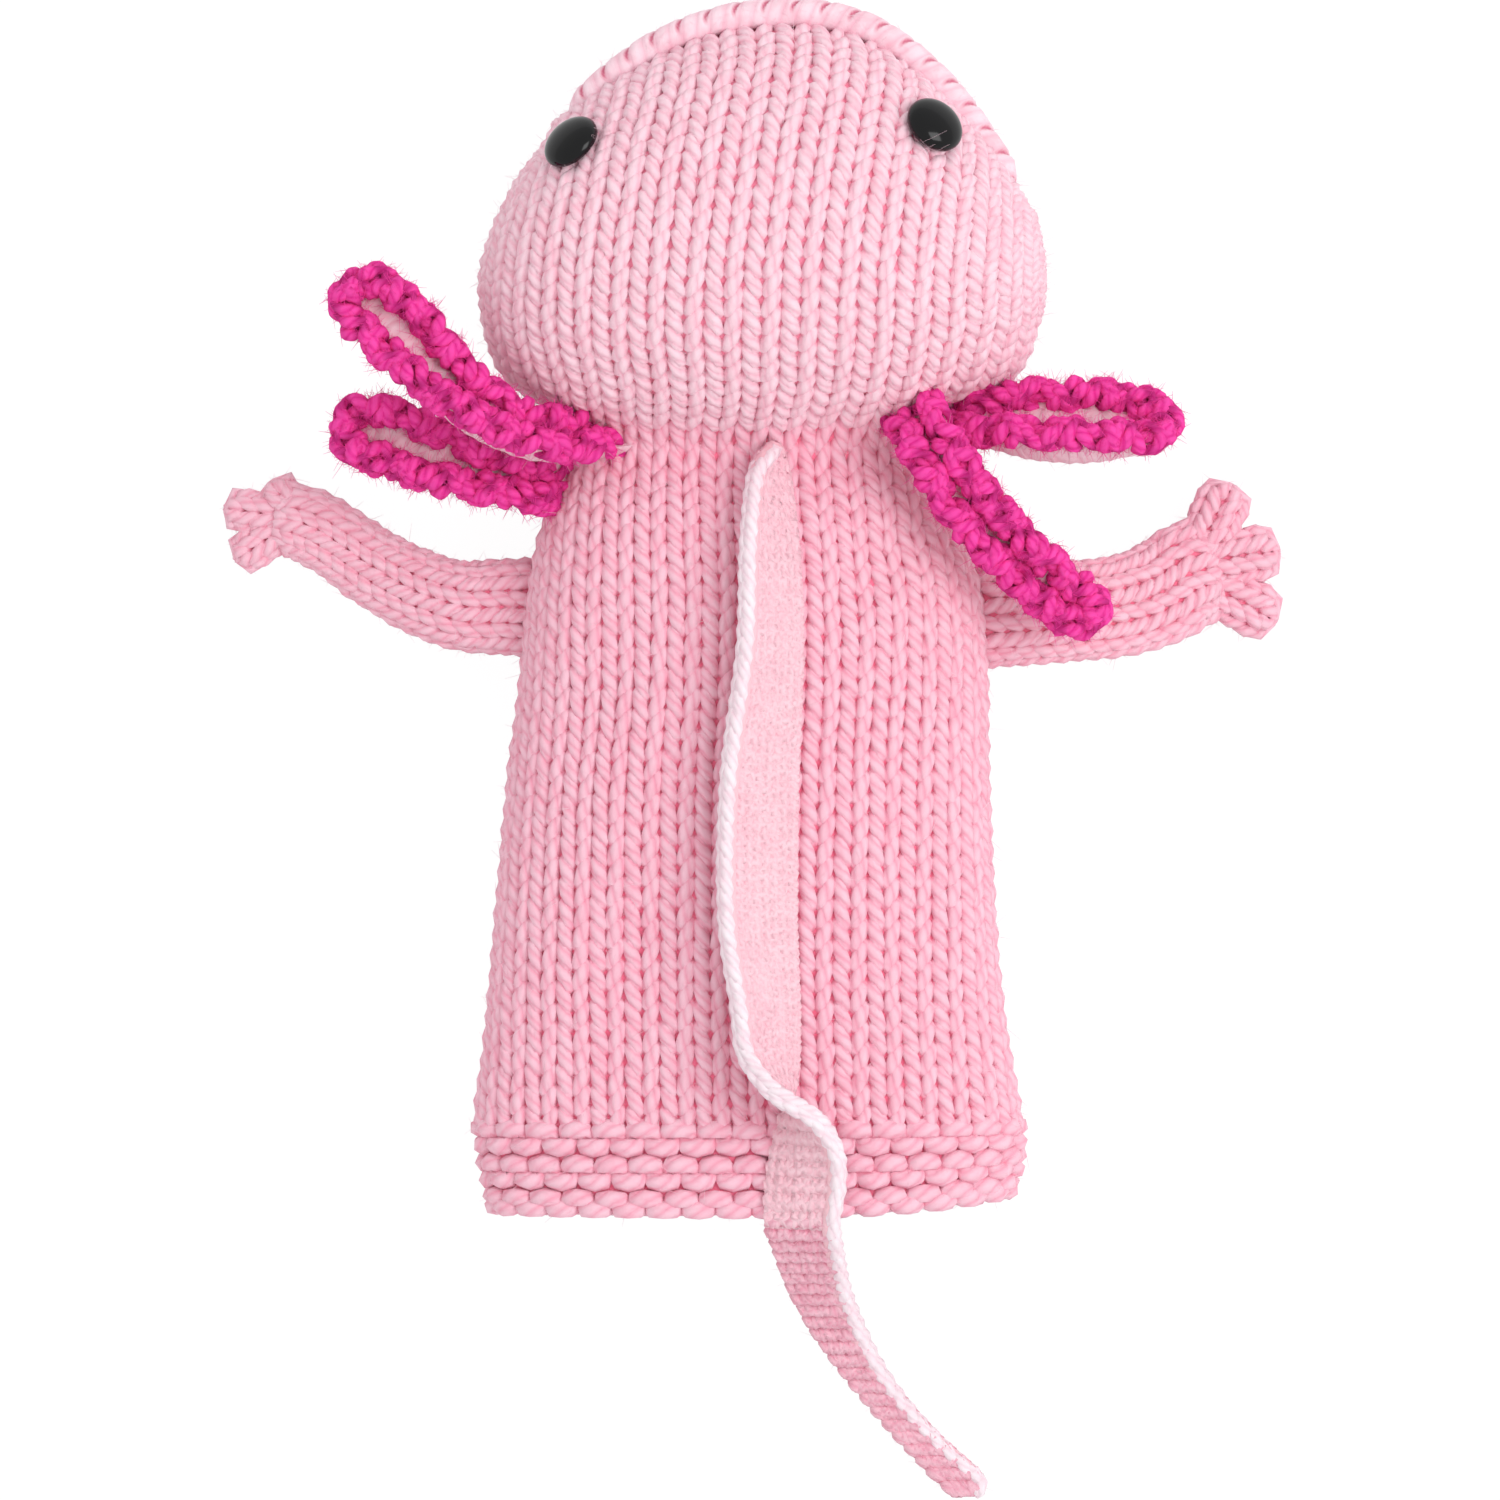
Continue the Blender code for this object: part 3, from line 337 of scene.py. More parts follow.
def ripple(*phases):
    """A smooth, repeatable unevenness between -1 and 1."""
    total = 0
    for k, phase in enumerate(phases):
        total = total + np.sin(phase * (1.7 + 0.61 * k) + 1.3 * k + SEED)
    return total / max(1, len(phases))


def scatter(n, k):
    """Repeatable numbers between 0 and 1 for whole numbers n."""
    return np.mod(np.sin(np.asarray(n, float) * 12.9898 + k * 78.233 + SEED) * 43758.5453, 1)


# Objects


def new_object(name, data):
    made = bpy.data.objects.new(name, data)
    bpy.context.scene.collection.objects.link(made)
    return made


def plain_mesh(obj):
    """The mesh that an object's modifiers make. The modifiers are removed."""
    bpy.context.view_layer.update()
    graph = bpy.context.evaluated_depsgraph_get()
    mesh = bpy.data.meshes.new_from_object(obj.evaluated_get(graph))
    obj.modifiers.clear()
    return mesh


# The skin's form


def skin_sections():
    """Rows of the skin's rings, hem to crown: y of its middle, left and right sides; x of its left and
    right sides; z of its belly, its sides and its back."""
    hem = -SLEEVE_BEHIND
    shoulder = hem + SLEEVE_LENGTH
    neck = shoulder + NECK_LENGTH
    crown = neck + HEAD_LENGTH
    press = -BELLY_PRESS

    def across(width, skew=0.0):
        return (-width / 2 + skew, width / 2 + skew)

    def sleeve(y, width, height, skew, left=0.0, right=0.0):
        return (y, y + left, y + right, *across(width, skew), press, height * 0.46, height)

    span = SLEEVE_LENGTH - HEM_BAND
    band_top = hem + HEM_BAND
    flare = HEM_WIDTH - WAIST_WIDTH
    wide, tall = SHOULDER_WIDTH, SHOULDER_HEIGHT
    rows = [
        sleeve(hem, HEM_WIDTH - 4 * MM, HEM_HEIGHT - 1.5 * MM, 0.2 * MM, 0.4 * MM, 3.4 * MM),
        sleeve(hem + HEM_BAND * 0.48, HEM_WIDTH, HEM_HEIGHT, 0.2 * MM, 0.0, 1.4 * MM),
        sleeve(band_top, HEM_WIDTH + 1 * MM, HEM_HEIGHT + 1 * MM, -0.4 * MM),
        sleeve(band_top + span * 0.11, WAIST_WIDTH + flare * 0.8, HEM_HEIGHT + 2 * MM, -0.6 * MM),
        sleeve(band_top + span * 0.285, WAIST_WIDTH + flare * 0.44, WAIST_HEIGHT - 3 * MM, -0.9 * MM),
        sleeve(band_top + span * 0.64, WAIST_WIDTH, WAIST_HEIGHT, -0.3 * MM),
        sleeve(band_top + span * 0.83, (WAIST_WIDTH + wide) / 2, tall - 1 * MM, 0.6 * MM),
        sleeve(shoulder, wide, tall, 0.8 * MM),
        sleeve(shoulder + NECK_LENGTH * 0.54, wide - 7.5 * MM, tall - 1.5 * MM, 0.1 * MM),
    ]
    neck_side = neck + 1.6 * MM
    rows.append((neck, neck_side, neck_side, *across(NECK_WIDTH), 2.5 * MM, NECK_HEIGHT * 0.57, NECK_HEIGHT))
    # Shares of the head's length, half width and height, in the order of the rows
    head_rows = (
        (0.105, 0.160, 0.160, 0.92, 0.89, 0.005, 0.39, 0.74),
        (0.230, 0.295, 0.290, 1.00, 0.98, -0.013, 0.44, 0.90),
        (0.415, 0.440, 0.370, 1.00, 1.00, -0.013, 0.47, 1.00),
        (0.660, 0.600, 0.445, 0.905, 0.995, -0.013, 0.50, 0.99),
        (0.865, 0.710, 0.520, 0.785, 0.975, 0.12, 0.535, 0.835),
        (0.950, 0.770, 0.555, 0.735, 0.955, 0.29, 0.55, 0.71),
    )
    half = HEAD_WIDTH / 2
    for middle, left, right, wide_left, wide_right, low, side, high in head_rows:
        places = [neck + HEAD_LENGTH * share for share in (middle, left, right)]
        sides = (HEAD_LEAN - half * wide_left, HEAD_LEAN + half * wide_right)
        rows.append((*places, *sides, *[HEAD_HEIGHT * share for share in (low, side, high)]))
    places = (crown, crown - CROWN_DROP_LEFT, crown - CROWN_DROP_RIGHT)
    heights = (CROWN_HEIGHT - CROWN_THICK / 2, CROWN_HEIGHT, CROWN_HEIGHT + CROWN_THICK / 2)
    rows.append((*places, *across(CROWN_WIDTH, HEAD_LEAN + CROWN_LEAN), *heights))
    return np.array(rows)


SECTIONS = skin_sections()
LAST_RING = len(SECTIONS) - 1
RING_SAMPLES = 360
SIDE_POWER = 2 / 2.35  # how square the skin's rings are: 1 is an ellipse
CORNER_POWER = 2.3  # how late their sides draw back
TUBE_POWER = 0.85  # how square the arms and fingers are


def ring_outline(ring, turns):
    """Points of one ring of the skin at these shares of a turn: 0 is the right side, 0.25 the spine."""
    y_mid, y_left, y_right, x_left, x_right, z_low, z_side, z_high = through(SECTIONS, np.array([ring]))[0]
    angle = 2 * math.pi * np.asarray(turns, float)
    c, s = np.cos(angle), np.sin(angle)
    across = np.sign(c) * np.abs(c) ** SIDE_POWER
    x = (x_left + x_right) / 2 + (x_right - x_left) / 2 * across
    lift = np.abs(s) ** SIDE_POWER
    z = np.where(s >= 0, z_side + (z_high - z_side) * lift, z_side - (z_side - z_low) * lift)
    side = np.where(c >= 0, y_right, y_left)
    y = y_mid + (side - y_mid) * np.abs(across) ** CORNER_POWER
    return np.stack([x, y, z], axis=1)


def skin_frame(ring, turn):
    """(point, outward direction) on the skin at a ring and a share of a turn."""
    step = 0.02
    here = ring_outline(ring, [turn])[0]
    around = ring_outline(ring, [turn + step])[0] - ring_outline(ring, [turn - step])[0]
    along = ring_outline(ring + step, [turn])[0] - ring_outline(ring - step, [turn])[0]
    return here, unit(np.cross(along, around))


def spine_point(ring, right):
    """The point of the back on a ring at a given place right of the sleeve's middle."""
    line = ring_outline(ring, np.linspace(0.05, 0.45, 161))
    order = np.argsort(line[:, 0])
    return np.array([np.interp(right, line[order, 0], line[order, k]) for k in range(3)])


# Fabric: a surface that is read by course and by column of stitches


class Fabric:
    """points is a grid evenly spaced by course, first axis, and by column, second axis."""

    def __init__(self, points, courses, columns, wraps, start=-OVERHANG):
        self.points, self.courses, self.columns, self.wraps = points, courses, columns, wraps
        self.start = start
        along = np.gradient(points, axis=0)
        if wraps:
            around = np.roll(points, -1, axis=1) - np.roll(points, 1, axis=1)
        else:
            around = np.gradient(points, axis=1)
        self.normals = unit(np.cross(along, around))

    def read(self, course, column, lift):
        """Points at a course and a column, lift metres out of the surface."""
        rows, cols = self.points.shape[:2]
        a = np.clip(course / self.courses * (rows - 1), self.start, rows - 1 + OVERHANG)
        i = np.clip(np.floor(a).astype(int), 0, rows - 2)
        f = (a - i)[..., None]
        b = column / self.columns * (cols if self.wraps else cols - 1)
        j = np.floor(b).astype(int)
        if not self.wraps:
            j = np.clip(j, 0, cols - 2)
        g = (b - j)[..., None]
        k = j + 1
        if self.wraps:
            j, k = j % cols, k % cols

        def blend(grid):
            low = grid[i, j] * (1 - g) + grid[i, k] * g
            high = grid[i + 1, j] * (1 - g) + grid[i + 1, k] * g
            return low * (1 - f) + high * f

        return blend(self.points) + unit(blend(self.normals)) * np.asarray(lift)[..., None]


def skin_fabric():
    """The whole skin, its columns of stitches even on the back and gathered towards the belly."""
    rings = np.linspace(0, LAST_RING, 500)
    spine = np.array([ring_outline(r, [0.25])[0] for r in rings])
    along = lengths(spine)
    upper = round((along[-1] - HEM_BAND) / COURSE)
    courses = HEM_COURSES + upper
    places = np.concatenate(
        [np.linspace(0, HEM_BAND, HEM_COURSES + 1), np.linspace(HEM_BAND, along[-1], upper + 1)[1:]]
    )
    wanted = np.interp(np.linspace(0, courses, 4 * courses + 1), np.arange(courses + 1), places)
    half = COLUMNS / 2
    columns = np.linspace(-half, half, 6 * COLUMNS + 1)[:-1]
    turns = np.linspace(-0.25, 0.75, RING_SAMPLES + 1)
    rows = []
    for ring in np.interp(wanted, along, rings):
        outline = ring_outline(ring, turns)
        round_it = lengths(outline)
        spine_at = round_it[RING_SAMPLES // 2]
        width = np.interp(ring, COLUMN_AT, COLUMN_WIDTHS)
        reach = np.where(columns < 0, spine_at, round_it[-1] - spine_at)
        share = columns / half
        at = spine_at + width * columns + (reach - width * half) * share**3
        rows.append(read_line(outline, round_it, at))
    fabric = Fabric(np.array(rows), courses, COLUMNS, True)
    points = fabric.points + fabric.normals * relief(fabric)[..., None]
    return Fabric(points, courses, COLUMNS, True, HEM_START)


def relief(fabric):
    """How far the soft skin stands out of its plain form: hollows on the back, puckers at the neck."""
    points = fabric.points / MM
    out = np.zeros(points.shape[:2])
    on_back = np.clip(fabric.normals[..., 2] * 2, 0, 1)
    for (x, y), length, width, turn, depth in HOLLOWS:
        c, s = math.cos(turn * DEGREE), math.sin(turn * DEGREE)
        dx, dy = points[..., 0] - x, points[..., 1] - y
        along, across = dx * c + dy * s, dy * c - dx * s
        out -= depth * on_back * np.exp(-((along / length) ** 2) - (across / width) ** 2)
    neck = (SLEEVE_LENGTH - SLEEVE_BEHIND + NECK_LENGTH) / MM
    near_neck = np.exp(-(((points[..., 1] - neck) / 9) ** 2))
    column = np.linspace(0, COLUMNS, points.shape[1])[None, :]
    out += NECK_PUCKER * near_neck * ripple(column * 1.1, column * 0.57)
    return out


# Yarn lines


def row_of_stitches(fabric, row, yarn, purl=False, closed=True, depth=LOOP_DEPTH, rise=LOOP_RISE):
    """The line of the yarn through one row of stitches, no two quite alike, and its thickness there as a
    share."""
    loops = fabric.columns
    count = loops * STITCH_POINTS
    t = np.linspace(0, 2 * math.pi * loops, count + (0 if closed else 1), endpoint=not closed)
    stitch = np.floor(t / (2 * math.pi) + 0.5)
    key = stitch + 57.0 * row
    bulge = LOOP_BULGE * (1 + 0.22 * (scatter(key, 1) - 0.5))
    rise = rise * (1 + 0.10 * (scatter(key, 2) - 0.5))
    column = t / (2 * math.pi) + bulge * np.sin(2 * t) + 0.05 * (scatter(key, 3) - 0.5)
    course = row + 0.5 + rise * np.cos(t)
    front = np.cos(2 * t) * (1 if purl else -1)
    lift = -yarn / 2 - depth + depth * front * (1 + 0.3 * (scatter(key, 4) - 0.5))
    # The thinner parts, where a loop dives behind, are also painted towards the deep colour: painted shade
    thick = 0.93 + 0.10 * front + 0.06 * (scatter(key, 5) - 0.5)
    return fabric.read(course, column, lift), thick


def chain_of_stitches(fabric, row, yarn):
    """One V of an edging chain, a row with a single column of stitches."""
    t = np.linspace(-math.pi, math.pi, STITCH_POINTS + 1)
    column = 0.5 + t / (2 * math.pi) * 0.62 + 0.17 * np.sin(2 * t)
    course = row + 0.5 + 0.98 * np.cos(t)
    lift = -yarn / 2 - 0.3 * MM - 0.45 * MM * np.cos(2 * t)
    return fabric.read(course, column, lift), 0.98 - 0.1 * np.cos(2 * t)


def yarn_lines(name, lines, closed):
    """A mesh object of edges: the lines that the yarn follows, with its place along them. Each line starts
    at another place of the yarn's twist."""
    points, edges, thick, along = [], [], [], []
    first = 0
    for line, share in lines:
        count = len(line)
        points.append(line)
        thick.append(share)
        along.append(lengths(line) / MM + 13.7 * len(points))
        pairs = [(first + k, first + k + 1) for k in range(count - 1)]
        if closed:
            pairs.append((first + count - 1, first))
        edges += pairs
        first += count
    mesh = bpy.data.meshes.new(name)
    mesh.from_pydata(np.concatenate(points), edges, [])
    for key, values in (("thick", thick), ("along", along)):
        mesh.attributes.new(key, "FLOAT", "POINT").data.foreach_set("value", np.concatenate(values))
    return new_object(name, mesh)


# Nodes


def add(tree, kind, links=None, **settings):
    """Adds a node. links gives each input a value or the output that feeds it."""
    made = tree.nodes.new(kind)
    for key, value in settings.items():
        setattr(made, key, value)
    for key, value in (links or {}).items():
        socket = made.inputs[key]
        if isinstance(value, bpy.types.NodeSocket):
            tree.links.new(value, socket)
        else:
            socket.default_value = value
    return made


def yarn_spinner():
    """The Geometry Nodes tree that spins a strand of yarn along the edges of a mesh."""
    tree = bpy.data.node_groups.new("spin_yarn", "GeometryNodeTree")
    sockets = {"Lines": "Geometry", "Yarn width": "Float", "Sides": "Int", "Material": "Material"}
    for name, kind in sockets.items():
        tree.interface.new_socket(name, in_out="INPUT", socket_type="NodeSocket" + kind)
    tree.interface.new_socket("Yarn", in_out="OUTPUT", socket_type="NodeSocketGeometry")
    given = tree.nodes.new("NodeGroupInput").outputs
    curve = add(tree, "GeometryNodeMeshToCurve", {"Mesh": given["Lines"]})
    share = add(tree, "GeometryNodeInputNamedAttribute", {"Name": "thick"}, data_type="FLOAT")
    half = add(tree, "ShaderNodeMath", {0: given["Yarn width"], 1: 0.5}, operation="MULTIPLY")
    radius = add(tree, "ShaderNodeMath", {0: share.outputs[0], 1: half.outputs[0]}, operation="MULTIPLY")
    circle = add(tree, "GeometryNodeCurvePrimitiveCircle", {"Resolution": given["Sides"], "Radius": 1.0})
    place = add(tree, "GeometryNodeInputPosition")
    marked = add(
        tree,
        "GeometryNodeStoreNamedAttribute",
        {"Geometry": circle.outputs[0], "Name": "round", "Value": place.outputs[0]},
        data_type="FLOAT_VECTOR",
        domain="POINT",
    )
    swept = add(
        tree,
        "GeometryNodeCurveToMesh",
        {
            "Curve": curve.outputs[0],
            "Profile Curve": marked.outputs[0],
            "Scale": radius.outputs[0],
            "Fill Caps": True,
        },
    )
    smooth = add(tree, "GeometryNodeSetShadeSmooth", {0: swept.outputs[0]})
    real = add(tree, "GeometryNodeRealizeInstances", {0: smooth.outputs[0]})
    done = add(
        tree, "GeometryNodeSetMaterial", {"Geometry": real.outputs[0], "Material": given["Material"]}
    )
    add(tree, "NodeGroupOutput", {0: done.outputs[0]})
    return tree


SPINNER = yarn_spinner()


def spin(name, lines, width, finish, closed=False, sides=YARN_SIDES):
    """Spins yarn along lines, none of it below the table, and returns it as a plain mesh object."""
    for line, share in lines:
        line[:, 2] = np.maximum(line[:, 2], share * width / 2)
    source = yarn_lines(name + "_lines", lines, closed)
    modifier = source.modifiers.new("yarn", "NODES")
    modifier.node_group = SPINNER
    inputs = {item.name: item.identifier for item in SPINNER.interface.items_tree if item.in_out == "INPUT"}
    modifier[inputs["Yarn width"]] = width
    modifier[inputs["Sides"]] = sides
    modifier[inputs["Material"]] = finish
    mesh = plain_mesh(source)
    mesh.name = name
    bpy.data.objects.remove(source)
    if not mesh.materials:
        mesh.materials.append(finish)
    return new_object(name, mesh)


def loose_fibres(name, source, kind, finish, slot):
    """Fine fibres that stand out of a piece of yarn."""
    count, length, width, stand = FUZZ[kind]
    mesh = source.data
    total = len(mesh.vertices)
    places, normals = np.empty(total * 3), np.empty(total * 3)
    mesh.vertices.foreach_get("co", places)
    mesh.vertices.foreach_get("normal", normals)
    places, normals = places.reshape(-1, 3), normals.reshape(-1, 3)
    rng = np.random.default_rng(SEED + total)
    picked = rng.integers(0, total, count)
    lines = []
    steps = np.array([[0.0], [1.0]])
    for k in picked:
        sideways = np.cross(normals[k], rng.normal(size=3))
        way = unit(unit(sideways) + normals[k] * stand * rng.random())
        bend = unit(np.cross(way, rng.normal(size=3))) * rng.normal() * 0.35
        long = length * (0.5 + rng.random())
        line = places[k] - normals[k] * 0.1 * MM + (way * steps + (bend - normals[k] * 0.2) * steps**2) * long
        lines.append((line, np.array([1.0, 0.35])))
    settle(spin(name, lines, width, finish, sides=3), slot)


# Materials


def colour(hexed):
    """A linear colour from an sRGB hex value."""
    parts = [int(hexed[k : k + 2], 16) / 255 for k in (1, 3, 5)]
    return (*[p / 12.92 if p <= 0.04045 else ((p + 0.055) / 1.055) ** 2.4 for p in parts], 1)


def new_material(name):
    material = bpy.data.materials.new(name)
    material.use_nodes = True
    return material, material.node_tree


def yarn_material(name, light, dark, deep, sheen, plies=3, twist_mm=9.0, fibre=0.9, pits=(0.84, 0.98)):
    """Spun yarn. Plies wind round the strand once in twist_mm, and fine fibres run along them. Its colour
    runs from dark where they sink to light where they stand out: painted shade in the grooves between them.
    Where the strand is pulled thin, between the shares in pits, it lies deep in the fabric, and its colour is
    mixed towards deep there as painted shade. deep also gives the random mottle."""
    material, tree = new_material(name)
    shader = tree.nodes["Principled BSDF"]
    round_it = add(tree, "ShaderNodeAttribute", attribute_name="round")
    along = add(tree, "ShaderNodeAttribute", attribute_name="along")
    parts = add(tree, "ShaderNodeSeparateXYZ", {0: round_it.outputs["Vector"]})
    angle = add(tree, "ShaderNodeMath", {0: parts.outputs[1], 1: parts.outputs[0]}, operation="ARCTAN2")
    turned = add(
        tree,
        "ShaderNodeMath",
        {0: along.outputs["Fac"], 1: 2 * math.pi / twist_mm, 2: angle.outputs[0]},
        operation="MULTIPLY_ADD",
    )
    wound = add(tree, "ShaderNodeMath", {0: turned.outputs[0], 1: plies / 2}, operation="MULTIPLY")
    wave = add(tree, "ShaderNodeMath", {0: wound.outputs[0]}, operation="SINE")
    ply = add(tree, "ShaderNodeMath", {0: wave.outputs[0]}, operation="ABSOLUTE")
    cos = add(tree, "ShaderNodeMath", {0: turned.outputs[0]}, operation="COSINE")
    sin = add(tree, "ShaderNodeMath", {0: turned.outputs[0]}, operation="SINE")
    stretched = add(tree, "ShaderNodeMath", {0: along.outputs["Fac"], 1: 0.22}, operation="MULTIPLY")
    streak_at = add(
        tree, "ShaderNodeCombineXYZ", {0: cos.outputs[0], 1: sin.outputs[0], 2: stretched.outputs[0]}
    )
    fibres = add(
        tree,
        "ShaderNodeTexNoise",
        {"Vector": streak_at.outputs[0], "Scale": 2.6, "Detail": 4.0, "Roughness": 0.75},
    )
    place = add(tree, "ShaderNodeTexCoord")
    mottle = add(
        tree,
        "ShaderNodeTexNoise",
        {"Vector": place.outputs["Object"], "Scale": 260.0, "Detail": 2.0, "Roughness": 0.6},
    )
    height = add(
        tree,
        "ShaderNodeMath",
        {0: fibres.outputs[0], 1: fibre, 2: ply.outputs[0]},
        operation="MULTIPLY_ADD",
    )
    # Dark in the grooves between plies and fibres, light on their tops: painted shade that follows the bump
    bright = add(tree, "ShaderNodeMapRange", {0: height.outputs[0], 1: 0.25, 2: 0.75 + fibre * 0.6})
    tone = add(
        tree, "ShaderNodeMix", {0: bright.outputs[0], 6: colour(dark), 7: colour(light)}, data_type="RGBA"
    )
    spots = add(tree, "ShaderNodeMapRange", {0: mottle.outputs[0], 1: 0.42, 2: 0.68, 3: 0.0, 4: 0.22})
    mixed = add(
        tree, "ShaderNodeMix", {0: spots.outputs[0], 6: tone.outputs[2], 7: colour(deep)}, data_type="RGBA"
    )
    # Thin, sunken parts of the strand are mixed towards deep: painted shade in the pits
    thick = add(tree, "ShaderNodeAttribute", attribute_name="thick")
    pit_shade = add(
        tree, "ShaderNodeMapRange", {0: thick.outputs["Fac"], 1: pits[0], 2: pits[1], 3: 0.85, 4: 0.0}
    )
    shaded = add(
        tree, "ShaderNodeMix", {0: pit_shade.outputs[0], 6: mixed.outputs[2], 7: colour(deep)}, data_type="RGBA"
    )
    tree.links.new(shaded.outputs[2], shader.inputs["Base Color"])
    bump = add(tree, "ShaderNodeBump", {"Height": height.outputs[0], "Strength": 0.5, "Distance": 0.5 * MM})
    tree.links.new(bump.outputs[0], shader.inputs["Normal"])
    shader.inputs["Roughness"].default_value = 0.9
    shader.inputs["Specular IOR Level"].default_value = 0.2
    shader.inputs["Sheen Weight"].default_value = sheen
    shader.inputs["Sheen Roughness"].default_value = 0.5
    shader.inputs["Sheen Tint"].default_value = colour(light)
    return material


def plain_material(name, hexed, roughness, bump_scale=None, bump=0.0, **sockets):
    """A plain finish, with a fine unevenness where bump_scale is given."""
    material, tree = new_material(name)
    shader = tree.nodes["Principled BSDF"]
    shader.inputs["Base Color"].default_value = colour(hexed)
    shader.inputs["Roughness"].default_value = roughness
    for key, value in sockets.items():
        shader.inputs[key.replace("_", " ")].default_value = value
    if bump_scale:
        place = add(tree, "ShaderNodeTexCoord").outputs["Object"]
        noise = add(tree, "ShaderNodeTexNoise", {"Vector": place, "Scale": bump_scale, "Detail": 4.0})
        uneven = add(tree, "ShaderNodeBump", {"Height": noise.outputs[0], "Strength": bump, "Distance": MM})
        tree.links.new(uneven.outputs[0], shader.inputs["Normal"])
    return material


# Acrylic spun of three soft plies: a matt pink with a faint twist and a pale bloom at its edges
PINK_YARN = yarn_material("pink_acrylic_yarn", "#FBC9D8", "#F6A5BB", "#F683A3", 0.4)
# The same yarn on the head, painted paler than on the sleeve as painted light, with less colour between the
# stitches
LIT_HEAD_YARN = yarn_material("stretched_pink_acrylic_yarn", "#FEDAE5", "#FBBFD0", "#F997B1", 0.4)
# Finer acrylic, pulled tight on the fin: nearly smooth and nearly one pink
PALE_YARN = yarn_material("pale_pink_acrylic_yarn", "#FDD3DD", "#FAC3D0", "#F5AEBF", 0.3, pits=(0.3, 0.5))
# The same yarn on the free tail, in looser rows, painted a dustier pink as painted shade
TAIL_YARN_IN_SHADE = yarn_material("shaded_pink_acrylic_yarn", "#F8C4D2", "#EFA3B8", "#E27E9A", 0.3)
# A nearly white strand: a bright line along the fin's free edge
RIM_YARN = yarn_material("whitish_pink_acrylic_yarn", "#FEEFF5", "#FBDDE8", "#F2B6CA", 0.4)
# Yarn packed into a fat roll: pale and smooth, and painted deep pink in its slanted pits as painted shade
SEAM_YARN = yarn_material("pink_acrylic_roll", "#FEE0EA", "#FBC9D8", "#DC5C80", 0.4, 2, 5.2, 0.8, (0.3, 0.85))
# Loose rows of soft yarn: pale and blurred
LEAF_YARN = yarn_material("pale_pink_acrylic_leaf", "#FCDAE4", "#F7BFCF", "#EC93AB", 0.4, 1, 5.8, 1.1)
# Mohair: a hairy, saturated pink, bright on its plies and painted purple between them as painted shade
MAGENTA_YARN = yarn_material(
    "magenta_mohair_yarn", "#FF4FB0", "#E00F84", "#9A0058", 0.3, 3, 6.0, 1.3, (0.5, 0.8)
)
# Yarn seen only through the gaps between stitches: a saturated, deeper pink as painted shade, and quite
# without gloss
GROUND = plain_material("pink_yarn_in_shade", "#FA86A4", 1.0, 900.0, 0.5)
HEAD_GROUND = plain_material("stretched_yarn_in_shade", "#FB9AB4", 1.0, 900.0, 0.5)
LEAF_GROUND = plain_material("pale_yarn_in_shade", "#F8C6D0", 1.0, 900.0, 0.5)
# Single fibres: a pale haze round the yarn
PINK_FIBRE = plain_material("pink_fibre", "#FCD9E4", 0.9)
MAGENTA_FIBRE = plain_material("magenta_fibre", "#F53FA5", 0.9)
# Polished acetal: nearly black, with one small soft highlight
EYE_BLACK = plain_material("black_acetal_dome", "#050507", 0.14, Specular_IOR_Level=0.3)
# Moulded polythene: white and waxy
WASHER_WHITE = plain_material("moulded_polythene", "#E6E6E2", 0.5, 300.0, 0.2)
# Carded polyester: off-white and lumpy, without gloss
FILLING_WHITE = plain_material("polyester_filling", "#F1EEE8", 1.0, 400.0, 1.0)


# Putting pieces in place


def settle(piece, slot, *nodes):
    """Rides a finished piece on the puppet, in place of its CAD nodes."""
    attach(piece, "root")
    if nodes:
        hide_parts(*nodes)
    return piece


def grid_shell(name, outer, inner, finish, wraps):
    """A thin closed sheet between an outer and an inner grid of points."""
    rows, cols = outer.shape[:2]
    step = rows * cols
    faces = []
    last = cols if wraps else cols - 1
    for i in range(rows - 1):
        for j in range(last):
            k = (j + 1) % cols
            a, b, c, d = i * cols + j, i * cols + k, (i + 1) * cols + k, (i + 1) * cols + j
            faces.append((a, d, c, b))
            faces.append((step + a, step + b, step + c, step + d))
    for j in range(last):
        k = (j + 1) % cols
        faces.append((j, k, step + k, step + j))
        end = (rows - 1) * cols
        faces.append((end + k, end + j, step + end + j, step + end + k))
    if not wraps:
        for i in range(rows - 1):
            a, b = i * cols, (i + 1) * cols
            faces.append((b, a, step + a, step + b))
            faces.append((a + cols - 1, b + cols - 1, step + b + cols - 1, step + a + cols - 1))
    mesh = bpy.data.meshes.new(name)
    mesh.from_pydata(np.concatenate([outer.reshape(-1, 3), inner.reshape(-1, 3)]), [], faces)
    mesh.materials.append(finish)
    mesh.shade_smooth()
    return new_object(name, mesh)


def ground_of(fabric, name, finish, rows, cols, kind, share=None):
    """The thin sheet just under the face of a fabric, where its yarn lies in its own shade. share gives
    its first and last row."""
    top, thick = SHADE_SHEETS[kind]
    course = np.linspace(0, fabric.courses, rows)
    if share:
        course = course[share[0] : share[1] + 1]
    column = np.linspace(0, fabric.columns, cols + (0 if fabric.wraps else 1), endpoint=not fabric.wraps)
    courses, columns = np.meshgrid(course, column, indexing="ij")
    outer = fabric.read(courses, columns, np.full(courses.shape, -top))
    inner = fabric.read(courses, columns, np.full(courses.shape, -top - thick))
    return grid_shell(name, outer, inner, finish, fabric.wraps)


# The skin


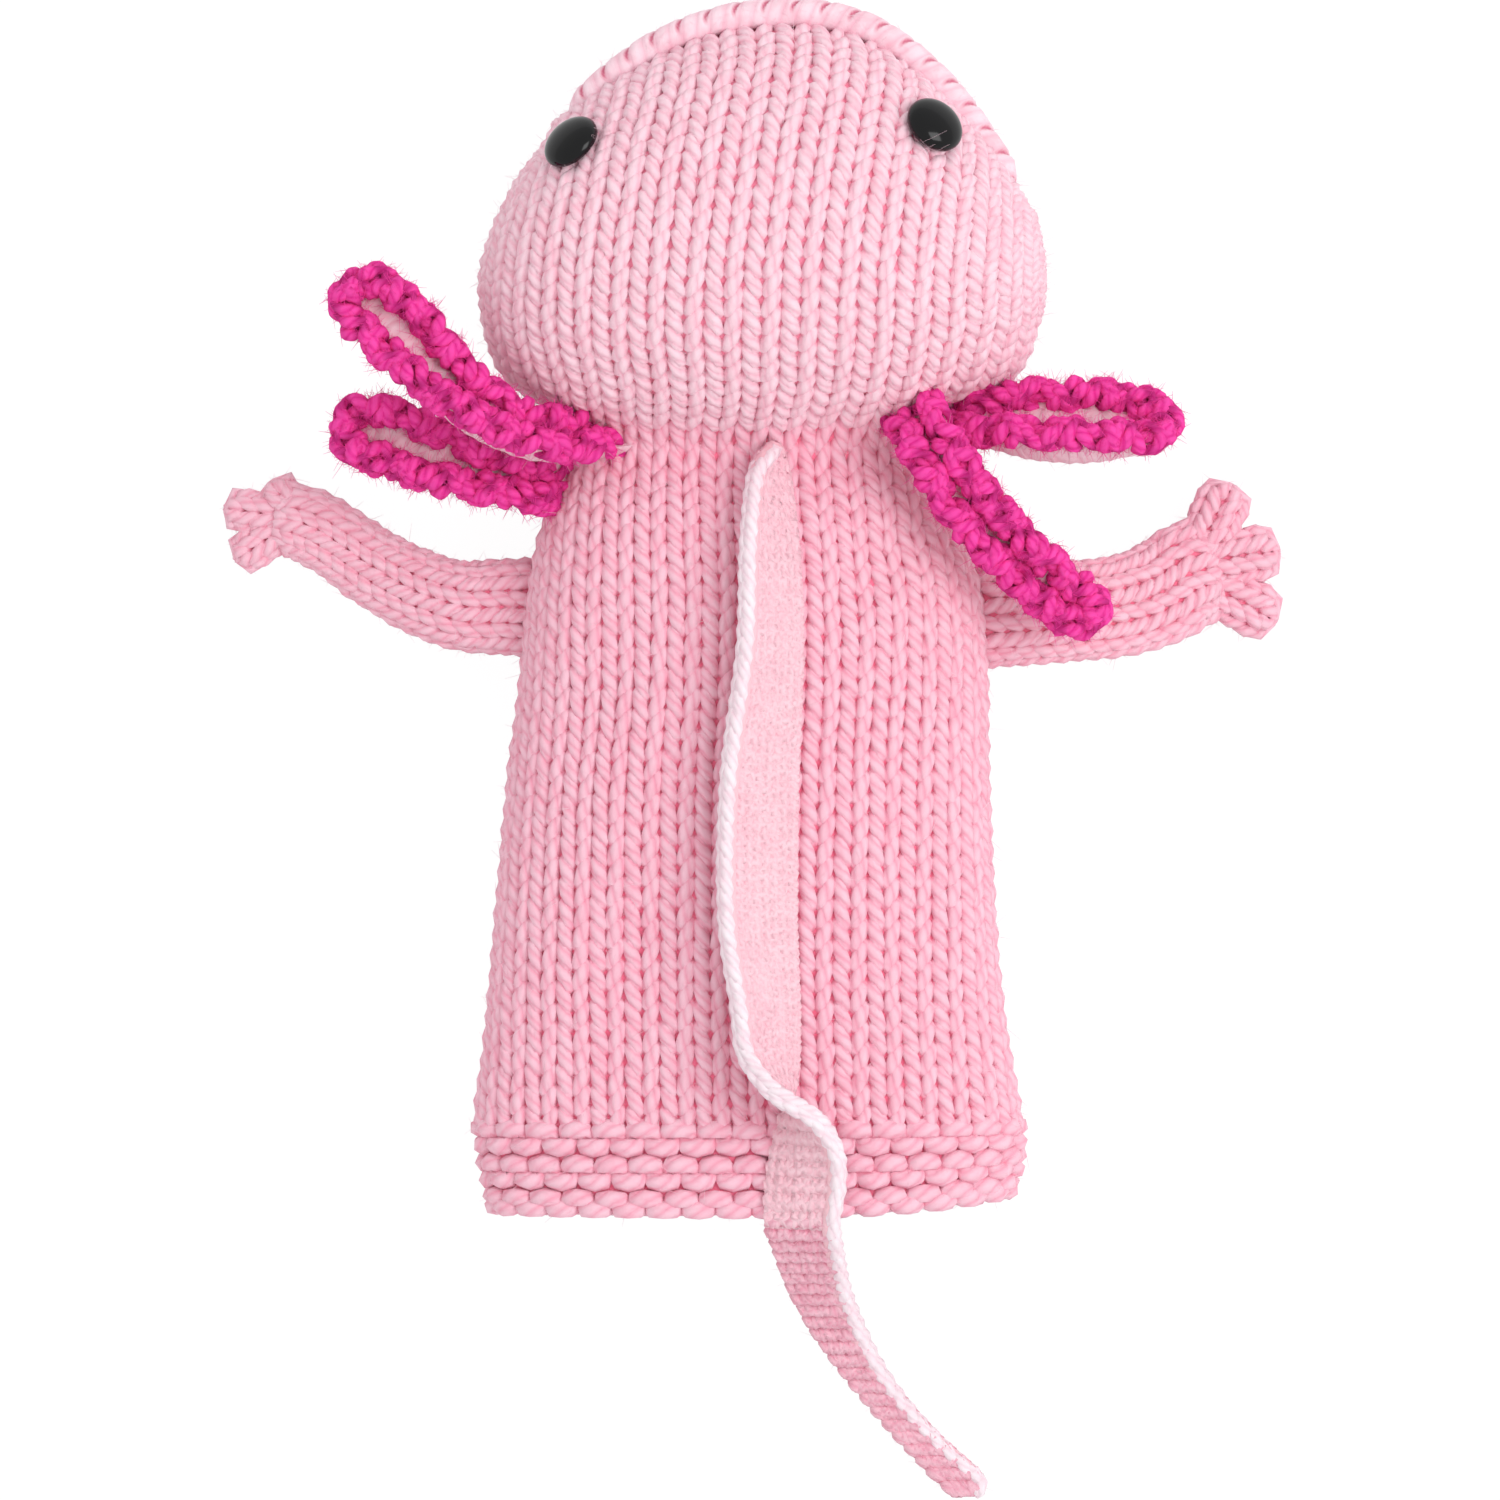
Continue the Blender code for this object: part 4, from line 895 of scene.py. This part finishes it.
def knit_skin():
    """The skin's rows of stitches: a garter hem, the sleeve, the neck and the head. The hem's knit rows
    lie hidden behind its purl rows and are left out, but for the one that meets the sleeve."""
    fabric = skin_fabric()
    third = (fabric.courses - HEM_COURSES) / 3
    ends = [HEM_COURSES + round(share * third) for share in BAND_ENDS]
    names = ("knitted_hem_and_sleeve", "knitted_shoulders", "knitted_head_back", "knitted_head_front")
    made = {}
    for name, low, high in zip(names, [0, *ends], [*ends, fabric.courses]):
        lines = []
        for row in range(low, high):
            if row >= HEM_COURSES - 1:
                lines.append(row_of_stitches(fabric, row, YARN))
            elif row % 2 == 0:
                line, share = row_of_stitches(fabric, row, YARN - 2 * GARTER_RIDGE, True, rise=GARTER_RISE)
                lines.append((line, share * GARTER_YARN / YARN))
        # The head's pieces take the paler copy of the yarn: painted light
        finish = LIT_HEAD_YARN if "head" in name else PINK_YARN
        made[name] = settle(spin(name, lines, YARN, finish, closed=True), "pink_knit", "knitted_skin")
    split = round(SHADE_ROWS * ends[1] / fabric.courses)
    for part, finish, share in (("sleeve", GROUND, (0, split)), ("head", HEAD_GROUND, (split, SHADE_ROWS))):
        name = f"knitted_{part}_ground"
        ground = ground_of(fabric, name, finish, SHADE_ROWS, SHADE_COLUMNS, "skin", share)
        settle(ground, "pink_knit", "knitted_skin")
    settle(cast_on_edge(fabric), "pink_knit", "knitted_skin")
    for name, piece in made.items():
        loose_fibres(name + "_fibres", piece, "skin", PINK_FIBRE, "pink_knit")


def cast_on_edge(fabric):
    """Two strands twisted round each other along the sleeve's edge, a turn to each column."""
    turns = np.linspace(0, COLUMNS, 12 * COLUMNS, endpoint=False)
    lines = []
    for strand in (0, 0.5):
        angle = 2 * math.pi * (turns + strand)
        course = CAST_ON_AT + 0.22 * np.cos(angle)
        lift = -YARN / 2 - CAST_ON_SET + 0.7 * MM * np.sin(angle)
        lines.append((fabric.read(course, turns, lift), 0.9 + 0.1 * np.sin(angle)))
    return spin("cast_on_edge", lines, YARN * 0.8, PINK_YARN, closed=True)


def crown_seam():
    """The fat roll that closes the crown. Its stitches meet at slanted pits on its outer half."""
    turns = np.linspace(0.5 - SEAM_ENDS[0], SEAM_ENDS[1], 200)
    dense = ring_outline(LAST_RING, turns)
    dense[:, 2] = CROWN_HEIGHT + SEAM_LIFT
    ahead = unit(np.gradient(dense, axis=0))
    out = unit(np.cross(UP, ahead))
    dense = dense + out * (SEAM_ROLL / 2 - SEAM_OVER)
    along = lengths(dense)
    stitches = round(along[-1] / SEAM_STITCH)
    place = np.linspace(0, stitches, 14 * stitches + 1)
    line = read_line(dense, along, place / stitches * along[-1])
    ahead = unit(np.gradient(line, axis=0))
    out = unit(np.cross(UP, ahead))
    angles = np.linspace(0, 2 * math.pi, 28, endpoint=False)
    slant = np.mod(place[:, None] + 0.32 * np.sin(angles)[None] + 0.5, 1) - 0.5
    outer_half = np.clip(np.cos(angles - 35 * DEGREE), 0, 1)[None] ** 2
    pit = np.exp(-((slant / 0.085) ** 2)) * outer_half
    swell = 0.10 * MM * ripple(place[:, None] * 2.3 + angles[None], place[:, None] * 0.7)
    radius = SEAM_ROLL / 2 + swell - SEAM_PIT * pit
    radius *= np.sqrt(np.clip(np.minimum(place, stitches - place) / 0.8, 0.12, 1))[:, None]
    round_it = out[:, None] * np.cos(angles)[None, :, None] + UP * np.sin(angles)[None, :, None]
    grid = line[:, None] + radius[..., None] * round_it
    # 1 - pit is read as the thickness mark, so the pits are painted deep pink: painted shade
    roll = closed_tube("crown_seam_roll", grid, angles, 1 - pit, SEAM_YARN)
    settle(roll, "pale_pink_knit", "crown_seam")
    loose_fibres("crown_seam_fibres", roll, "seam", PINK_FIBRE, "pale_pink_knit")


def mark_yarn(mesh, way, along, thick):
    """Stores the marks that a yarn material reads: the way round the strand, the place along it in mm and
    its thickness as a share, which the material also reads to paint shade into the pits where it is low."""
    mesh.attributes.new("round", "FLOAT_VECTOR", "POINT").data.foreach_set("vector", way.ravel())
    mesh.attributes.new("along", "FLOAT", "POINT").data.foreach_set("value", along)
    mesh.attributes.new("thick", "FLOAT", "POINT").data.foreach_set("value", thick)


def closed_tube(name, grid, angles, thick, finish):
    """A tube over a grid of rings, closed at both ends, with the marks that a yarn material reads."""
    rings, count = grid.shape[:2]
    faces = [tuple(reversed(range(count))), tuple((rings - 1) * count + j for j in range(count))]
    for i in range(rings - 1):
        for j in range(count):
            k = (j + 1) % count
            faces.append((i * count + j, i * count + k, (i + 1) * count + k, (i + 1) * count + j))
    mesh = bpy.data.meshes.new(name)
    mesh.from_pydata(grid.reshape(-1, 3), [], faces)
    marks = np.stack([np.cos(angles), np.sin(angles), np.zeros(count)], axis=1)
    along = lengths(grid.mean(axis=1)) / MM
    mark_yarn(mesh, np.tile(marks, (rings, 1)), np.repeat(along, count), thick.ravel())
    tidy_mesh = bmesh.new()
    tidy_mesh.from_mesh(mesh)
    bmesh.ops.recalc_face_normals(tidy_mesh, faces=tidy_mesh.faces)
    tidy_mesh.to_mesh(mesh)
    tidy_mesh.free()
    mesh.materials.append(finish)
    mesh.shade_smooth()
    return new_object(name, mesh)


def edge_fabric(line, courses, radius, out):
    """A narrow strip of fabric wrapped round an edge, which faces out."""
    side = unit(np.cross(unit(np.gradient(line, axis=0)), out))
    angles = np.linspace(-100, 100, 9) * DEGREE
    grid = np.stack([line + radius * (out * math.cos(a) - side * math.sin(a)) for a in angles], axis=1)
    return Fabric(grid, courses, 1, False)


# Eyes


def eye(side):
    """A polished black dome."""
    ring, turn = EYES[side]
    place, out = skin_frame(ring, turn)
    place = place + out * EYE_CLEARANCE
    radius = EYE_WIDTH / 2
    steps = np.linspace(0, math.pi / 2, 16)
    profile = [(radius * math.sin(a), EYE_RIM + (EYE_DOME - EYE_RIM) * math.cos(a)) for a in steps]
    profile += [(radius * 0.97, 0.0), (0.0, 0.0)]
    mesh = bpy.data.meshes.new(side + "_eye_dome")
    mesh.from_pydata([(r, 0, h) for r, h in profile], [(k, k + 1) for k in range(len(profile) - 1)], [])
    obj = new_object(side + "_eye_dome", mesh)
    screw = obj.modifiers.new("turn", "SCREW")
    screw.steps = screw.render_steps = EYE_STEPS
    screw.use_merge_vertices = True
    screw.merge_threshold = 0.01 * MM
    turned = plain_mesh(obj)
    obj.data = turned
    stand = Matrix.Translation(Vector(place)) @ Vector(out).to_track_quat("Z", "Y").to_matrix().to_4x4()
    turned.transform(stand)
    turned.materials.clear()
    turned.materials.append(EYE_BLACK)
    turned.shade_smooth()
    settle(obj, "black_eye_plastic", side + "_eye")
    fibres_over_eye(side, place, out)


def fibres_over_eye(side, place, out):
    """A few fibres of the yarn that lie over the dome's edge."""
    radius = EYE_WIDTH / 2
    fibres = []
    rng = np.random.default_rng(SEED + len(side))
    across = unit(np.cross(out, UP))
    up = np.cross(across, out)
    for _ in range(EYE_FIBRES):
        turn = rng.uniform(0, 2 * math.pi)
        start = radius * np.array([math.cos(turn), math.sin(turn)])
        end = start + rng.uniform(-0.9, 0.9, 2) * radius
        at = np.linspace(0, 1, EYE_FIBRE_POINTS)[:, None]
        flat = start * (1 - at) + end * at + rng.normal(size=2) * 0.8 * MM * np.sin(math.pi * at)
        reach = np.clip(1 - (np.linalg.norm(flat, axis=1) / radius) ** 2, 0, 1)
        height = EYE_RIM + 0.05 * MM + (EYE_DOME - EYE_RIM) * np.sqrt(reach)
        line = place + flat[:, :1] * across + flat[:, 1:] * up + height[:, None] * out
        fibres.append((line, np.ones(EYE_FIBRE_POINTS)))
    settle(spin(side + "_eye_fibres", fibres, 0.035 * MM, PINK_FIBRE, sides=3), "pink_knit")


# Arms


def arm_point(side, step):
    """The point at a step out of the arm's root, forwards of it and up from the table, in mm."""
    turn, mirror = (0.0, 1) if side == "right" else (0.5, -1)
    root = ring_outline(ARM_RING, [turn])[0]
    return np.array([root[0] + mirror * step[0] * MM, root[1] + step[1] * MM, step[2] * MM])


def tube_fabric(line, wide, thick, columns, close):
    """A flattened knitted tube along a line. Its far end closes in a share of its length."""
    at = lengths(line)
    courses = max(2, round(at[-1] / ARM_COURSE))
    even = np.linspace(0, at[-1], 4 * courses + 1)
    wide, thick = np.interp(even, at, wide), np.interp(even, at, thick)
    line = read_line(line, at, even)
    share = np.linspace(0, 1, len(even))
    end = np.sqrt(1 - np.clip(1 - (1 - share) / close, 0, 0.985) ** 2)
    across, up = rolled_frames(line, np.zeros(len(line)))
    turns = np.linspace(0, 2 * math.pi, 121)
    c = np.sign(np.cos(turns)) * np.abs(np.cos(turns)) ** TUBE_POWER
    s = np.sign(np.sin(turns)) * np.abs(np.sin(turns)) ** TUBE_POWER
    half_wide, half_thick = wide / 2 * end, thick / 2 * end
    rows = []
    for k in range(len(even)):
        flat = line[k] + np.outer(c * half_wide[k], across[k]) + np.outer(s * half_thick[k], up[k])
        round_it = lengths(flat)
        rows.append(read_line(flat, round_it, np.linspace(0, round_it[-1], 6 * columns + 1)[:-1]))
    fabric = Fabric(np.array(rows), courses, columns, True)
    # At the closing end some of the surface's directions turn inwards, so they are turned back
    inside = line[np.minimum(np.arange(len(even)), int((1 - close) * (len(even) - 1)))]
    turned_in = np.sum(fabric.normals * (fabric.points - inside[:, None]), axis=-1) < 0
    fabric.normals[turned_in] *= -1
    return fabric


def arm(side):
    """An arm with its three short fingers, all in the body's stitch."""
    steps = ARMS[side]
    at = np.linspace(ARM_START, len(steps) - 1, 60)
    line = through([arm_point(side, s[0]) for s in steps], at)
    wide, thick = through([s[1] * MM for s in steps], at), through([s[2] * MM for s in steps], at)
    fabric = tube_fabric(line, wide, thick, ARM_COLUMNS, ARM_CLOSE)
    lines = [row_of_stitches(fabric, row, YARN) for row in range(fabric.courses)]
    grounds = [ground_of(fabric, side + "_arm_ground", GROUND, 40, 40, "arm", (0, 37))]
    for number, (root, tip) in enumerate(FINGERS[side]):
        along = np.linspace(0, 1, 12)[:, None]
        finger_line = arm_point(side, root) * (1 - along) + arm_point(side, tip) * along
        widths = FINGER_WIDTHS[side] * np.interp(along[:, 0], (0, FINGER_SWELL), (FINGER_ROOT, 1))
        finger = tube_fabric(finger_line, widths, widths * FINGER_FLAT, FINGER_COLUMNS, FINGER_CLOSE)
        lines += [row_of_stitches(finger, row, YARN * 0.9) for row in range(finger.courses)]
        grounds.append(ground_of(finger, f"{side}_finger_ground_{number}", GROUND, 12, 20, "finger"))
    knit = spin(side + "_arm_knit", lines, YARN * 0.9, PINK_YARN, closed=True)
    settle(knit, "pink_knit", side + "_arm")
    for ground in grounds:
        settle(ground, "pink_knit", side + "_arm")
    loose_fibres(side + "_arm_fibres", knit, "arm", PINK_FIBRE, "pink_knit")


# Gills


def gill_line(name, stations):
    """The middle line of a gill, its directions across and up, its width and its depth."""
    where, steps = GILLS[name]
    root, _ = skin_frame(*where)
    at = np.linspace(0, len(steps) - 1, stations)
    line = root + through([np.array(s[0]) * MM for s in steps], at)
    wide, deep = through([s[1] * MM for s in steps], at), through([s[2] * MM for s in steps], at)
    across, up = rolled_frames(line, through([s[3] * DEGREE for s in steps], at))
    return line, across, up, wide, deep


def gill_leaf(name):
    """The pale leaf, knitted, hanging as a trough between the two sides of its edging."""
    line, across, up, wide, deep = gill_line(name, 120)
    half = (wide - GILL_ROPE) / 2 + LEAF_THICK / 2
    ahead = unit(np.gradient(line, axis=0))[-1]
    bend = np.linspace(0, 80, 11)[1:, None] * DEGREE
    line = np.concatenate([line, line[-1] + ahead * half[-1] * np.sin(bend)])
    half, deep = (np.concatenate([a, a[-1] * np.cos(bend[:, 0])]) for a in (half, deep))
    across, up = (np.concatenate([a, np.repeat(a[-1:], len(bend), axis=0)]) for a in (across, up))
    arc = np.linspace(-math.pi / 2, math.pi / 2, 19)[None]
    place = lengths(line)[:, None] / LEAF_ROW
    ridges = 0.16 * MM * (np.cos(2 * math.pi * place) + 0.5 * ripple(place * 2.9 + arc * 3, place + arc * 6))

    def sheet(depth):
        x, z = half[:, None] * np.sin(arc), -LEAF_LIP - (depth[:, None] + ridges) * np.cos(arc)
        return line[:, None] + across[:, None] * x[..., None] + up[:, None] * z[..., None]

    below, face = sheet(deep + GILL_ROPE / 2 - LEAF_LIP), sheet(np.full(len(line), LEAF_FACE))
    leaf = grid_shell(name + "_gill_leaf_knit", face[:, ::-1], below[:, ::-1], LEAF_YARN, False)
    turned = 2 * math.pi * np.broadcast_to(place, (len(line), arc.shape[1]))
    way = np.stack([np.cos(turned), np.sin(turned), np.zeros(turned.shape)], axis=-1).reshape(-1, 3)
    run = (half[:, None] * arc[:, ::-1] / MM + 3.1 * np.floor(place)).ravel()
    mark_yarn(leaf.data, np.tile(way, (2, 1)), np.tile(run, 2), np.ones(2 * len(run)))
    settle(leaf, "pale_pink_knit", name + "_gill_leaf")
    loose_fibres(name + "_gill_leaf_fibres", leaf, "leaf", PINK_FIBRE, "pale_pink_knit")


def gill_edging(name):
    """The crocheted edging: strands of fuzzy yarn wound into a knobbly rope round the leaf."""
    line, across, _, wide, _ = gill_line(name, 60)
    half = (wide - GILL_ROPE) / 2
    ahead = unit(np.gradient(line, axis=0))
    turn = np.linspace(0, math.pi, 9)[1:-1]
    one, other = line + across * half[:, None], line - across * half[:, None]
    tip = np.array([line[-1] + half[-1] * (across[-1] * math.cos(a) + ahead[-1] * math.sin(a)) for a in turn])
    path = np.concatenate([one[2:-1], tip, other[2:-1][::-1]])
    along = lengths(path)
    stitches = round(along[-1] / CROCHET_STITCH)
    at = np.linspace(0, along[-1], 16 * stitches + 1)
    path = read_line(path, along, at)
    from_end = np.minimum(at, at[-1] - at)
    path[:, 2] -= ROOT_SINK * np.exp(-((from_end / ROOT_RUN) ** 2))
    ahead = unit(np.gradient(path, axis=0))
    side = unit(np.cross(ahead, UP))
    up = np.cross(side, ahead)
    place = np.linspace(0, stitches, len(at))
    lines = [(path, np.full(len(path), 0.9))]
    for strand in range(CROCHET_STRANDS):
        way = 1 if strand % 2 else -1
        turns = way * place * (0.5 + 0.13 * (strand // 2)) + strand / CROCHET_STRANDS
        angle = 2 * math.pi * turns + 0.7 * ripple(place * 2.7 + strand, place * 1.3 - strand)
        knob = np.cos(2 * math.pi * (place + scatter(strand, 1) * 0.25))
        knob += 0.6 * ripple(place * 5 + strand * 2)
        orbit = (GILL_ROPE - 0.5 * CROCHET_YARN) / 2 * (1.04 + CROCHET_KNOB * knob)
        ring = side * np.cos(angle)[:, None] + up * np.sin(angle)[:, None]
        lines.append((path + ring * orbit[:, None], 0.76 + 0.2 * ripple(place * 7.1 + strand)))
    rope = spin(name + "_gill_crochet", lines, CROCHET_YARN, MAGENTA_YARN)
    settle(rope, "magenta_crochet", name + "_gill_edging")
    loose_fibres(name + "_gill_fibres", rope, "edging", MAGENTA_FIBRE, "magenta_crochet")


# Fin and tail


def fin_rows(stations):
    """Foot and free edge of the fin and tail at evenly spaced stations."""
    steps = [(spine_point(ring, right * MM), depth, lean) for ring, right, depth, lean in FIN_ON_SKIN]
    for (right, back, height), depth, lean in TAIL_STEPS:
        steps.append((np.array([right * MM, SECTIONS[0, 0] - back * MM, height * MM]), depth, lean))
    feet, edges = [], []
    for foot, depth, lean in steps:
        lean_way = np.array([math.sin(lean * DEGREE), 0.0, math.cos(lean * DEGREE)])
        feet.append(foot)
        edges.append(foot + lean_way * depth * MM)
    at = np.linspace(0, len(feet) - 1, stations)
    return through(feet, at), through(edges, at)


def fin_and_tail():
    """One strip in garter stitch, its rows across it, with a chained rim along its free edge."""
    feet, edges = fin_rows(400)
    middle = lengths((feet + edges) / 2)
    rows = round(middle[-1] / FIN_ROW)
    even = np.linspace(0, middle[-1], 4 * rows + 1)
    feet, edges = read_line(feet, middle, even), read_line(edges, middle, even)
    across = np.linspace(0, 1, 9)[None, :, None]
    inset = unit(edges - feet) * FIN_RIM * 0.3
    grid = feet[:, None] * (1 - across) + (edges - inset)[:, None] * across
    fabric = Fabric(grid, rows, 4, False)
    lines = []
    for row in range(rows):
        past_hem = np.clip((-SLEEVE_BEHIND - grid[4 * row, 4, 1]) / (8 * MM), 0, 1)
        depth = FIN_DEPTH + (LOOP_DEPTH - FIN_DEPTH) * past_hem
        lines.append(row_of_stitches(fabric, row, -2 * depth, purl=row % 2 == 0, closed=False, depth=depth))
    free = int(np.argmax(grid[::4, 4, 1] < -SLEEVE_BEHIND))
    knit = spin("fin_knit", lines[:free], FINE_YARN * 1.05, PALE_YARN, sides=5)
    settle(knit, "pale_pink_knit", "fin_and_tail")
    tail = spin("tail_knit", lines[free:], FINE_YARN * 1.05, TAIL_YARN_IN_SHADE, sides=5)
    settle(tail, "pale_pink_knit", "fin_and_tail")
    at = lengths(edges)
    stitches = round(at[-1] / RIM_STITCH)
    places = np.linspace(0, at[-1], 6 * stitches + 1)
    up = unit(read_line(unit(edges - feet), at, places))
    rim_line = read_line(edges, at, places) - up * FIN_RIM / 2
    rim_line[:, 2] = np.maximum(rim_line[:, 2], FIN_RIM / 2)
    rim = edge_fabric(rim_line, stitches, FIN_RIM / 2, up)
    chain = [chain_of_stitches(rim, row, FINE_YARN) for row in range(-1, stitches)]
    rim_chain = spin("fin_rim_chain", chain, FINE_YARN * 0.95, RIM_YARN)
    settle(rim_chain, "pale_pink_knit", "fin_and_tail")
    core = spin("fin_rim_core", [(rim_line, np.ones(len(rim_line)))], FIN_RIM * 0.66, LEAF_GROUND)
    settle(core, "pale_pink_knit", "fin_and_tail")
    loose_fibres("fin_fibres", knit, "fin", PINK_FIBRE, "pale_pink_knit")
    loose_fibres("tail_fibres", tail, "tail", PINK_FIBRE, "pale_pink_knit")


# Inside the head


def fill_head():
    """The loose filling, and the washers behind the eyes."""
    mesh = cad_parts["head_stuffing"].data.copy()
    mesh.materials.clear()
    mesh.materials.append(FILLING_WHITE)
    filling = settle(new_object("head_filling", mesh), "fibre_filling", "head_stuffing")
    for side in EYES:
        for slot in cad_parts[side + "_eye_washer"].material_slots:
            slot.material = WASHER_WHITE


# Floor, light and camera


def seen_by(tree, *rays):
    """1 for a ray of one of these kinds, and otherwise 0."""
    path = add(tree, "ShaderNodeLightPath")
    seen = path.outputs[rays[0]]
    for ray in rays[1:]:
        either = add(tree, "ShaderNodeMath", {0: seen, 1: path.outputs[ray]}, operation="ADD", use_clamp=True)
        seen = either.outputs[0]
    return seen


def floor():
    """A white table. It keeps the puppet's shadow, and the camera sees it nearly pure white."""
    mesh = bpy.data.meshes.new("table")
    corners = [(-TABLE, -TABLE, 0), (TABLE, -TABLE, 0), (TABLE, TABLE, 0), (-TABLE, TABLE, 0)]
    mesh.from_pydata(corners, [], [(0, 1, 2, 3)])
    material, tree = new_material("white_table")
    tree.nodes.remove(tree.nodes["Principled BSDF"])
    seen = seen_by(tree, "Is Camera Ray", "Is Glossy Ray", "Is Transmission Ray")
    share = add(tree, "ShaderNodeMath", {0: seen, 1: 0.9}, operation="MULTIPLY")
    lit = add(tree, "ShaderNodeBsdfDiffuse", {"Color": (TABLE_WHITE, TABLE_WHITE, TABLE_WHITE, 1)})
    glow = add(tree, "ShaderNodeEmission", {"Color": (1, 1, 1, 1), "Strength": TABLE_GLOW})
    mix = add(tree, "ShaderNodeMixShader", {0: share.outputs[0], 1: lit.outputs[0], 2: glow.outputs[0]})
    tree.links.new(mix.outputs[0], tree.nodes["Material Output"].inputs["Surface"])
    mesh.materials.append(material)
    new_object("table", mesh)


def lights():
    """An even white room, and one large soft lamp high on the right."""
    world = bpy.data.worlds.new("studio")
    bpy.context.scene.world = world
    world.use_nodes = True
    tree = world.node_tree
    back = tree.nodes["Background"]
    seen = seen_by(tree, "Is Camera Ray", "Is Transmission Ray")
    power = add(tree, "ShaderNodeMapRange", {0: seen, 3: SKY_LIGHT, 4: 1.0})
    back.inputs["Color"].default_value = (1, 1, 1, 1)
    tree.links.new(power.outputs[0], back.inputs["Strength"])
    lamp = bpy.data.lights.new("key_light", "AREA")
    lamp.shape = "SQUARE"
    lamp.size = KEY_SIZE
    lamp.energy = KEY_POWER
    obj = new_object("key_light", lamp)
    obj.location = KEY_AT
    obj.rotation_euler = (Vector(KEY_AIM) - Vector(KEY_AT)).to_track_quat("-Z", "Y").to_euler()


def camera():
    """Straight above, with a long lens, framed as the photograph is."""
    lens = bpy.data.cameras.new("camera")
    obj = new_object("camera", lens)
    obj.location = CAMERA_AT
    lens.sensor_width = SENSOR
    lens.lens = SENSOR * CAMERA_AT[2] / (PICTURE * PIXEL)
    lens.clip_end = 20
    bpy.context.scene.camera = obj


camera()
lights()
floor()
knit_skin()
crown_seam()
for eye_side in EYES:
    eye(eye_side)
for arm_side in ARMS:
    arm(arm_side)
for gill_name in GILLS:
    gill_leaf(gill_name)
    gill_edging(gill_name)
fin_and_tail()
fill_head()

bpy.context.scene.view_settings.view_transform = "Standard"
